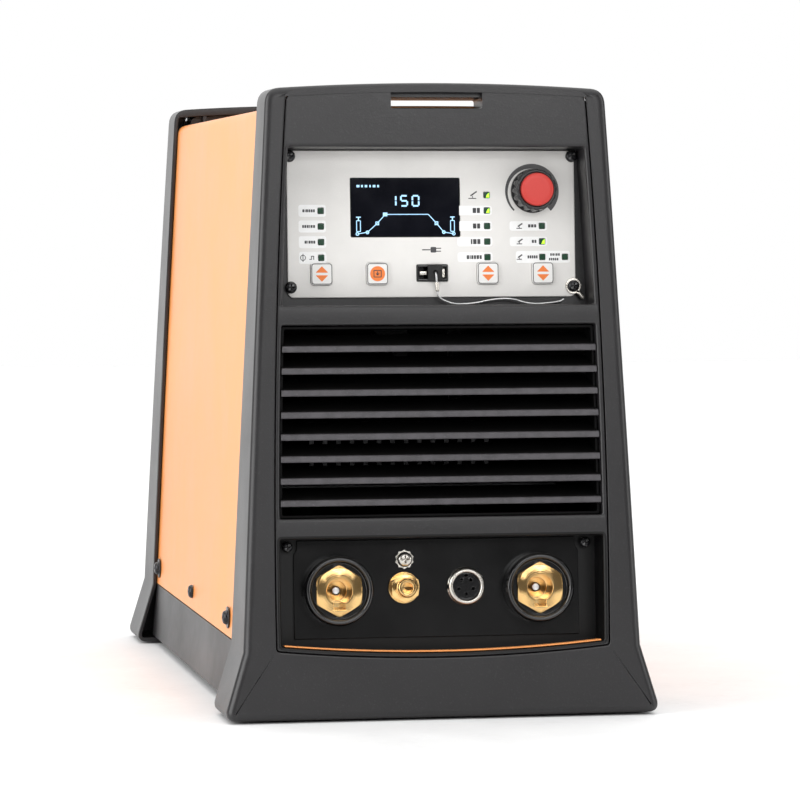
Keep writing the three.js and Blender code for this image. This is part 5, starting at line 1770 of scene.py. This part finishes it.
def build_front_screws():
    heads = [(f"panel_screw_{i}", 3.1) for i in (1, 2, 3, 4)]
    heads += [(f"connector_screw_{side}", 2.7) for side in ("left", "right")]
    for node, radius in heads:
        low, high = extent(node, FRONT)
        centre = (low + high) / 2
        tall = radius * 0.75
        length = high.y - low.y - tall
        bm = pan_head(radius, tall, 1.6, length)
        seat = (centre.x, low.y + tall, centre.z)
        part("head_of_" + node, bm, "screw_black", node, at=seat)
    low, high = extent("ground_screw", FRONT)
    centre = (low + high) / 2
    tall = 3.0
    bm = pan_head(4.0, tall, 1.6, high.y - low.y - tall)
    teeth = [polar(5.0 if i % 2 else 4.3, 2 * math.pi * i / 20) for i in range(20)]
    plate(bm, teeth, [circle(1.9, 20)], -0.05, 0.25)
    part("ground_screw_and_washer", bm, "nickel", "ground_screw", at=(centre.x, low.y + tall, centre.z))


# ---------- connector panel ----------

CONNECTOR_FACE = 18.3
CONNECTOR_SEAT = CONNECTOR_FACE - 0.3


def build_connector_panel():
    low, high = extent("connector_panel", FRONT)
    sockets = [middle(f"weld_socket_{side}_flange", FRONT) for side in ("left", "right")]
    gas, remote, ground = (middle(n, FRONT) for n in ("gas_outlet", "remote_socket_shell", "ground_screw"))
    holes = [circle(15, 40, s.x, s.z) for s in sockets]
    holes += [circle(5, 24, gas.x, gas.z), circle(8.3, 32, remote.x, remote.z),
              circle(2, 16, ground.x, ground.z)]
    half, notch = high.x, 5.2
    screw = middle("connector_screw_right", FRONT)
    corner = [(half, low.z), (half, screw.z - notch)]
    steps = 8
    for i in range(1, steps):
        swing = math.radians(270 - 90 * i / steps)
        corner.append(polar(notch, swing, screw.x, screw.z))
    corner += [(screw.x - notch, high.z)]
    corner = [(x, z) for x, z in corner if x <= half + 0.01]
    right = [(0, low.z)] + corner + [(0, high.z)]
    bm = bmesh.new()
    plate(bm, mirrored(right), holes, low.y, high.y, 0.3, hole_edge=0.2)
    part("connector_panel_plate", bm, "black_paint", "connector_panel")


def hexagon_ring(flats, steps=60, turned=math.pi / 2):
    """A ring on a hexagon, with points at even angles."""
    points = []
    for i in range(steps):
        angle = 2 * math.pi * i / steps
        fold = (angle - turned + math.pi / 6) % (math.pi / 3) - math.pi / 6
        radius = min(flats / 2 / math.cos(math.pi / 6 - abs(fold)), flats / math.sqrt(3) * 0.985)
        points.append(polar(radius, angle))
    return points


def hexagon(bm, flats, front, back, inner=None, bore=20.0, steps=60, turned=math.pi / 2, chamfer=0.96):
    """A hexagon bar with turned chamfers, and a blind bore where inner gives its loop."""
    outline = hexagon_ring(flats, steps, turned)
    flat_radius = flats / 2 * chamfer

    def bevel(x, z):
        return max(0.0, math.hypot(x, z) - flat_radius) * math.tan(math.radians(30))

    face = ring(bm, circle(flat_radius, steps), front)
    edge = [bm.verts.new((x, front + bevel(x, z), z)) for x, z in outline]
    end = ring(bm, outline, back)
    bridge(bm, face, edge)
    bridge(bm, edge, end)
    hole = wall(bm, inner, front, front + bore, 0.4, 0, True) if inner else None
    fill(bm, [face] + ([hole[0]] if hole else []))
    fill(bm, [end])
    return hole[1] if hole else None


def keyed_bore(radius, half_width, reach):
    """A bore with a keyway at its foot."""
    start = math.asin(half_width / radius)
    steps = 40
    loop = []
    for i in range(steps + 1):
        angle = -math.pi / 2 + start + (2 * math.pi - 2 * start) * i / steps
        loop.append(polar(radius, angle))
    low = -radius - reach
    return loop + [(-half_width, low), (half_width, low)]


def build_weld_sockets():
    for side in ("left", "right"):
        node = f"weld_socket_{side}"
        low, high = extent(node + "_flange", FRONT)
        centre = (low + high) / 2
        front = low.y
        place = (centre.x, 0, centre.z)
        seat = CONNECTOR_SEAT
        bm = bmesh.new()
        inner = 13.9
        profile = [(inner, front + 6), (inner, front + 3.2), (14.5, front + 3.0), (15.0, front + 0.9),
                   (15.9, front + 0.05), (17.0, front + 0.3), (18.0, front + 2.4), (18.0, seat),
                   (14.6, seat), (14.6, front + 24), (inner, front + 24)]
        turn(bm, soften(profile, 0.5), 96, closed=True)
        part(node + "_collar", bm, "socket_black", node + "_flange", at=place)
        bm = bmesh.new()
        plate(bm, circle(13.85, 64), [hexagon_ring(23.9)], front + 3.2, front + 8, 0.15)
        for angle in (100, 205, 335):
            x, z = polar(12.6, math.radians(angle))
            plate(bm, circle(0.8, 20, x, z), [], front + 2.95, front + 3.4, 0.1)
        part(node + "_liner", bm, "socket_black", at=place)
        bm = bmesh.new()
        step = hexagon(bm, 23.4, front + 1.4, front + 26, keyed_bore(6.65, 2.9, 3.0), bore=9.0)
        well = wall(bm, circle(4.9, 40), front + 10.4, front + 23, 0.5, 0, True)
        fill(bm, [step, well[0]])
        fill(bm, [well[1]])
        stud_back = extent(node + "_insert", FRONT)[1].y
        turn(bm, soften([(0, front + 26), (5, front + 26), (5, stud_back), (0, stud_back)], 0.5), 32)
        part(node + "_brass", bm, "brass", node + "_insert", at=place)
        bm = bmesh.new()
        turn(bm, [(0, front + 13), (1.7, front + 13), (2.3, front + 13.6), (2.5, front + 14.6),
                  (2.5, front + 22.9),
                  (0, front + 22.9)], 32)
        part(node + "_pin", bm, "tether_steel", at=place, slot="nickel")


def build_gas_outlet():
    low, high = extent("gas_outlet", FRONT)
    seat = CONNECTOR_SEAT
    centre = (low + high) / 2
    bm = bmesh.new()
    turn(bm, soften([(3, seat), (8.1, seat), (8.1, seat - 1.2), (3, seat - 1.2), (3, seat)], 0.25), 56)
    bore = 2.8
    fill(bm, [hexagon(bm, 13.7, seat - 5.6, seat - 1.1, circle(bore, 32), 4.0, turned=math.pi / 6,
                      chamfer=0.95)])
    nipple = [(bore, seat - 4), (bore, seat - 11.7), (3.1, seat - 12), (4.2, seat - 12), (4.9, seat - 11.2),
              (5.0, seat - 9.5), (4.6, seat - 9.3), (4.6, seat - 8.7), (5.1, seat - 8.4), (5.2, seat - 5.4),
              (5.2, seat - 4), (bore, seat - 4)]
    turn(bm, soften(nipple, 0.2), 56)
    turn(bm, [(0, seat - 1), (4.6, seat - 1), (4.6, high.y), (0, high.y)], 40)
    part("gas_outlet_nipple", bm, "brass", "gas_outlet", at=(centre.x, 0, centre.z))


def build_remote_socket():
    low, high = extent("remote_socket_shell", FRONT)
    centre = (low + high) / 2
    seat = CONNECTOR_SEAT
    place = (centre.x, 0, centre.z)
    bm = bmesh.new()
    profile = [(7.4, 30), (8, 30), (8, seat), (10, seat), (10, seat - 1.8), (9.3, seat - 2.5),
               (9.3, seat - 3.6),
               (8.5, seat - 4.2), (7.7, seat - 4.2), (7.4, seat - 3.9)]
    turn(bm, soften(profile, 0.25), 72, closed=True)
    for side in (-1, 1):
        notch = bmesh.new()
        x = side * 10.2
        plate(notch, rectangle(1.8, 2.4, 0.3, x, 0), [], seat - 3, seat + 0.5)
        bm = combined(bm, notch, "DIFFERENCE")
    part("remote_socket_ring", bm, "nickel", "remote_socket_shell", at=place)
    bm = bmesh.new()
    face = CONNECTOR_FACE - 2.4
    pins = [math.pi / 2 + math.pi / 5 + 2 * math.pi * i / 5 for i in range(5)]
    holes = [circle(0.95, 18, *polar(4, angle)) for angle in pins]
    holes += [rectangle(1.8, 1.4, 0.3, 0, 5.6)]
    plate(bm, circle(7.2, 60), holes, face, 28.6, 0.4, hole_edge=0.2)
    turn(bm, [(0, 28.5), (7.2, 28.5), (7.2, 29.2), (0, 29.2)], 60)
    part("remote_socket_insulator", bm, "socket_black", "remote_socket_core", at=place)


# ---------- back fittings ----------

REAR_WALL = 20.3
REAR_SEAT = REAR_WALL - 0.3


def build_mains_switch():
    low, high = extent("mains_switch_body", BACK)
    centre = (low + high) / 2
    bm = bmesh.new()
    bezel = rectangle(34, 26, 1.5, steps=5)
    mouth = rectangle(25, 18, 0.6)
    front = REAR_WALL - 2.3
    outer = wall(bm, bezel, front, REAR_SEAT, 0.7)
    inner = wall(bm, mouth, front, front + 13.5, 0.4, 0, True)
    body = wall(bm, rectangle(30, 22, 0.5), REAR_SEAT, high.y)
    fill(bm, [outer[0], inner[0]])
    fill(bm, [inner[1]])
    fill(bm, [outer[1], body[0]])
    fill(bm, [body[1]])
    part("mains_switch_housing", bm, "socket_black", "mains_switch_body", place=BACK,
         at=(centre.x, 0, centre.z))
    build_rocker(centre)


def build_rocker(centre):
    half, wide = 11 - 3.6, 24.0
    section = [(-2.6, 0), (-5.2, half - 0.6), (-4.6, half - 0.1), (-3.6, half), (3.2, half - 2),
               (3.2, -half + 2),
               (-3.6, -half), (-4.6, -half + 0.1), (-5.2, -half + 0.6)]
    bm = bmesh.new()
    rings = []
    middle_depth = sum(d for d, _ in section) / len(section)
    for x, shrink in ((-wide / 2, 0.94), (-wide / 2 + 0.4, 1), (wide / 2 - 0.4, 1), (wide / 2, 0.94)):
        rings.append(
            [bm.verts.new((x, middle_depth + (d - middle_depth) * shrink, z * shrink)) for d, z in section]
        )
    for first, second in zip(rings, rings[1:]):
        bridge(bm, first, second)
    bm.faces.new(rings[0])
    bm.faces.new(rings[-1])
    pivot = BACK @ turned_at((centre.x, REAR_WALL + 3.5, centre.z), -math.radians(10), "X")
    part("mains_switch_rocker_cap", bm, "knob_red", "mains_switch_rocker", place=pivot, body="mains_rocker")


def build_gland_and_inlet():
    seat = REAR_SEAT
    centre = middle("cable_gland", BACK)
    high = extent("cable_gland", BACK)[1]
    bm = bmesh.new()
    hexagon(bm, 23.5, seat - 5, seat, turned=0)
    bore = 6.0
    ridges = 24
    dome = [(bore, seat - 4.9), (11.4, seat - 4.9), (11.5, seat - 5.6), (11.2, seat - 11.8),
            (10.4, seat - 13.8),
            (9.2, seat - 15), (6.8, seat - 15), (6.2, seat - 14.6), (bore, seat - 13.6)]
    turn(bm, soften(dome, 0.5), 96, closed=True)
    turn(bm, [(0, seat - 5.1), (bore, seat - 5.1), (bore, seat - 5.05), (0, seat - 5.05)], 48)
    for i in range(ridges):
        angle = 2 * math.pi * i / ridges
        x, z = polar(11.25, angle)
        tube(bm, [(x, seat - 6.2, z), (x * 0.99, seat - 11.4, z * 0.99)], 0.5, 8)
    turn(bm, [(0, seat - 0.1), (10, seat - 0.1), (10, high.y), (0, high.y)], 48)
    part("cable_gland_body", bm, "rubber", "cable_gland", place=BACK, at=(centre.x, 0, centre.z))
    centre = middle("gas_inlet", BACK)
    high = extent("gas_inlet", BACK)[1]
    bm = bmesh.new()
    hexagon(bm, 14.5, seat - 4.5, seat, turned=0, chamfer=0.95)
    bore = 2.4
    barb = [(bore, seat - 4.4), (4.4, seat - 4.4), (4.4, seat - 6), (5, seat - 7.5), (4, seat - 10),
            (5, seat - 10.2),
            (3.9, seat - 13), (4.6, seat - 13.2), (3.6, seat - 16), (bore, seat - 16)]
    turn(bm, soften(barb, 0.2), 48, closed=True)
    turn(bm, [(0, seat - 4.7), (bore, seat - 4.7), (bore, seat - 4.6), (0, seat - 4.6)], 32)
    turn(bm, [(0, seat - 0.1), (5, seat - 0.1), (5, high.y), (0, high.y)], 36)
    part("gas_inlet_barb", bm, "brass", "gas_inlet", place=BACK, at=(centre.x, 0, centre.z))


# ---------- inside ----------

INSIDE = {
    "inner_bracket": "aluminium",
    "heat_sink": "aluminium",
    "power_board": "board_green",
    "main_transformer": "copper_winding",
    "output_choke": "copper_winding",
    "gas_valve": "brass",
    "fan_housing": "black_paint",
    "fan_rotor": "grille_plastic",
}


def dress(node, name):
    """Gives a CAD node that stays in view its finish."""
    slots = frame["nodes"][node].data.materials
    slots.clear()
    slots.append(finish(name))


def build_inside():
    for node, name in INSIDE.items():
        dress(node, name)


# ---------- stage ----------

CAMERA_PLACE = (-0.378274, -2.213124, 0.251175)
CAMERA_YAW = 0.1769352
CAMERA_PITCH = 0.0433431
CAMERA_ROLL = 0.0028216
SENSOR = 36.0
LENS = 179.13


def camera_turn():
    level = math.cos(CAMERA_PITCH)
    ahead = Vector((math.sin(CAMERA_YAW) * level, math.cos(CAMERA_YAW) * level, -math.sin(CAMERA_PITCH)))
    right = Vector((math.cos(CAMERA_YAW), -math.sin(CAMERA_YAW), 0))
    down = ahead.cross(right)
    across = right * math.cos(CAMERA_ROLL) + down * math.sin(CAMERA_ROLL)
    up = right * math.sin(CAMERA_ROLL) - down * math.cos(CAMERA_ROLL)
    return Matrix((across, up, -ahead)).transposed().to_4x4()


def build_camera():
    lens = bpy.data.cameras.new("Camera")
    lens.sensor_width = SENSOR
    lens.lens = LENS
    lens.clip_start = 0.05
    lens.clip_end = 60
    camera = bpy.data.objects.new("Camera", lens)
    bpy.context.scene.collection.objects.link(camera)
    camera.matrix_world = Matrix.Translation(CAMERA_PLACE) @ camera_turn()
    bpy.context.scene.camera = camera


def softbox(name, place, target, size, power):
    light = bpy.data.lights.new(name, "AREA")
    light.shape = "RECTANGLE"
    light.size, light.size_y = size
    light.energy = power
    lamp = bpy.data.objects.new(name, light)
    bpy.context.scene.collection.objects.link(lamp)
    aim = (Vector(target) - Vector(place)).to_track_quat("-Z", "Y").to_matrix().to_4x4()
    lamp.matrix_world = Matrix.Translation(place) @ aim
    return lamp


def build_world():
    """A bright sweep behind the machine that falls off towards the dark side of the studio."""
    world = bpy.data.worlds.new("Studio")
    bpy.context.scene.world = world
    world.use_nodes = True
    tree = world.node_tree
    ground = tree.nodes["Background"]
    place = add(tree, "ShaderNodeTexCoord").outputs["Generated"]
    parts = add(tree, "ShaderNodeSeparateXYZ", {"Vector": place}).outputs
    sweep_level = remapped(tree, parts["Y"], low=0.55, high=0.92, to_low=0.14, to_high=1.35)
    ceiling = remapped(tree, parts["Z"], low=0.55, high=0.8, to_high=1.9)
    around = maths(tree, "MAXIMUM", sweep_level, ceiling)
    seen = add(tree, "ShaderNodeLightPath").outputs["Is Camera Ray"]
    level = add(tree, "ShaderNodeMix", {"Factor": seen, 2: around, 3: 1.0}, data_type="FLOAT")
    tree.links.new(level.outputs[0], ground.inputs["Strength"])
    ground.inputs["Color"].default_value = (1, 1, 1, 1)


def build_stage():
    scene = bpy.context.scene
    scene.view_settings.view_transform = "Standard"
    build_camera()
    build_world()
    bm = bmesh.new()
    half = 5000.0
    plate(bm, rectangle(2 * half, 2 * half), [], 0, 2)
    floor = piece("studio_floor", bm, [finish("floor_white")], body=None,
                  place=Matrix.Rotation(-math.pi / 2, 4, "X"))
    floor.location.z = 0
    power = scene.welder_sizes.light
    softbox("Left softbox", (-2.35, -0.8, 0.9), (0, -0.1, 0.15), (1.9, 2.0), 54 * power)
    softbox("Right softbox", (2.2, -0.9, 0.9), (0, -0.1, 0.15), (0.7, 1.8), 14 * power)
    softbox("Front fill", (0.3, -3.2, 1.25), (0, 0, 0.15), (2.0, 0.9), 27 * power)


# ---------- settings, operators and panel ----------


def colour_choice(label, help_text, default):
    return bpy.props.FloatVectorProperty(
        name=label, description=help_text, default=default, size=3, min=0.0, max=1.0, subtype="COLOR"
    )


class WelderColours(bpy.types.PropertyGroup):
    """Colours of the welder's main parts."""

    cover: colour_choice("Cover", "Paint of the sheet cover and the trim strip", (0.78, 0.29, 0.075))
    frame: colour_choice("Frames", "Plastic of the end frames and mouldings", (0.0105, 0.0098, 0.0108))
    panel: colour_choice("Control panel", "Paint of the control panel", (0.74, 0.725, 0.7))
    knob: colour_choice("Knob cap", "Plastic of the encoder's cap and of the mains rocker",
                        (0.5, 0.03, 0.022))
    lamp: colour_choice("Lamps", "Glow of the lit lamps", (0.42, 0.95, 0.03))


class WelderSizes(bpy.types.PropertyGroup):
    """Sizes that may be changed without moving any part."""

    frame_edge: bpy.props.FloatProperty(
        name="Frame edge radius",
        description="Rounding of the end frames' outer edges",
        default=0.0046,
        min=0.001,
        max=0.006,
        subtype="DISTANCE",
        unit="LENGTH",
        precision=4,
    )
    light: bpy.props.FloatProperty(
        name="Light",
        description="Share of the studio lights' full power",
        default=1.0,
        min=0.0,
        max=10.0,
        subtype="FACTOR",
    )


class WELDER_OT_stage(bpy.types.Operator):
    """Camera, lights and floor"""

    bl_idname = "welder.stage"
    bl_label = "Stage"

    def execute(self, context):
        build_stage()
        return {"FINISHED"}


class WELDER_OT_tether(bpy.types.Operator):
    """Wire tether of the dust plug, with its crimp and ring lug"""

    bl_idname = "welder.tether"
    bl_label = "Plug tether"

    def execute(self, context):
        build_tether()
        return {"FINISHED"}


class WELDER_OT_end_frames(bpy.types.Operator):
    """Front and rear A-shaped end frames"""

    bl_idname = "welder.end_frames"
    bl_label = "End frames"

    def execute(self, context):
        build_end_frames()
        return {"FINISHED"}


class WELDER_OT_end_mouldings(bpy.types.Operator):
    """Inner mouldings with the recesses and the strap slots"""

    bl_idname = "welder.end_mouldings"
    bl_label = "End mouldings"

    def execute(self, context):
        build_end_mouldings()
        return {"FINISHED"}


class WELDER_OT_grilles(bpy.types.Operator):
    """Louvred grilles of both ends"""

    bl_idname = "welder.grilles"
    bl_label = "Grilles"

    def execute(self, context):
        build_grilles()
        return {"FINISHED"}


class WELDER_OT_housing(bpy.types.Operator):
    """Sheet cover, folded tray, feet and the trim strip"""

    bl_idname = "welder.housing"
    bl_label = "Cover, tray and feet"

    def execute(self, context):
        build_cover()
        build_tray()
        build_feet()
        build_trim_strip()
        return {"FINISHED"}


class WELDER_OT_screws(bpy.types.Operator):
    """Screws of the cover, the control panel and the connector panel"""

    bl_idname = "welder.screws"
    bl_label = "Screws"

    def execute(self, context):
        build_cover_screws()
        build_front_screws()
        return {"FINISHED"}


class WELDER_OT_control_panel(bpy.types.Operator):
    """Control panel with its pads and marks"""

    bl_idname = "welder.control_panel"
    bl_label = "Control panel"

    def execute(self, context):
        build_control_panel()
        return {"FINISHED"}


class WELDER_OT_display(bpy.types.Operator):
    """Display glass and its picture"""

    bl_idname = "welder.display"
    bl_label = "Display"

    def execute(self, context):
        build_display()
        return {"FINISHED"}


class WELDER_OT_keys(bpy.types.Operator):
    """Keys and lamps"""

    bl_idname = "welder.keys"
    bl_label = "Keys and lamps"

    def execute(self, context):
        build_keys()
        build_lamps()
        return {"FINISHED"}


class WELDER_OT_encoder(bpy.types.Operator):
    """Encoder knob with its red cap"""

    bl_idname = "welder.encoder"
    bl_label = "Encoder knob"

    def execute(self, context):
        build_encoder_knob()
        return {"FINISHED"}


class WELDER_OT_data_socket(bpy.types.Operator):
    """Data socket and its dust plug"""

    bl_idname = "welder.data_socket"
    bl_label = "Data socket"

    def execute(self, context):
        build_data_socket()
        build_dust_plug()
        return {"FINISHED"}


class WELDER_OT_connectors(bpy.types.Operator):
    """Connector panel, welding sockets, gas outlet and remote control socket"""

    bl_idname = "welder.connectors"
    bl_label = "Connectors"

    def execute(self, context):
        build_connector_panel()
        build_weld_sockets()
        build_gas_outlet()
        build_remote_socket()
        return {"FINISHED"}


class WELDER_OT_back_fittings(bpy.types.Operator):
    """Mains switch, cable gland and gas inlet"""

    bl_idname = "welder.back_fittings"
    bl_label = "Back fittings"

    def execute(self, context):
        build_mains_switch()
        build_gland_and_inlet()
        return {"FINISHED"}


class WELDER_OT_inside(bpy.types.Operator):
    """Finishes of the inverter parts behind the grilles"""

    bl_idname = "welder.inside"
    bl_label = "Inner parts"

    def execute(self, context):
        build_inside()
        return {"FINISHED"}


BUILDERS = (
    WELDER_OT_stage,
    WELDER_OT_tether,
    WELDER_OT_end_frames,
    WELDER_OT_end_mouldings,
    WELDER_OT_grilles,
    WELDER_OT_housing,
    WELDER_OT_screws,
    WELDER_OT_control_panel,
    WELDER_OT_display,
    WELDER_OT_keys,
    WELDER_OT_encoder,
    WELDER_OT_data_socket,
    WELDER_OT_connectors,
    WELDER_OT_back_fittings,
    WELDER_OT_inside,
)


class WELDER_PT_sidebar(bpy.types.Panel):
    """The welder's settings and its builders"""

    bl_label = "TIG welding machine"
    bl_idname = "WELDER_PT_sidebar"
    bl_space_type = "VIEW_3D"
    bl_region_type = "UI"
    bl_category = "Welder"

    def draw(self, context):
        for group in (context.scene.welder_colours, context.scene.welder_sizes):
            for label in group.__annotations__:
                self.layout.prop(group, label)
        for builder in BUILDERS:
            self.layout.operator(builder.bl_idname)


CLASSES = (WelderColours, WelderSizes, *BUILDERS, WELDER_PT_sidebar)


def register():
    for item in CLASSES:
        bpy.utils.register_class(item)
    bpy.types.Scene.welder_colours = bpy.props.PointerProperty(type=WelderColours)
    bpy.types.Scene.welder_sizes = bpy.props.PointerProperty(type=WelderSizes)


def unregister():
    del bpy.types.Scene.welder_sizes
    del bpy.types.Scene.welder_colours
    for item in reversed(CLASSES):
        bpy.utils.unregister_class(item)


def main():
    register()
    for builder in BUILDERS:
        family, name = builder.bl_idname.split(".")
        getattr(getattr(bpy.ops, family), name)()


if __name__ == "__main__":
    main()
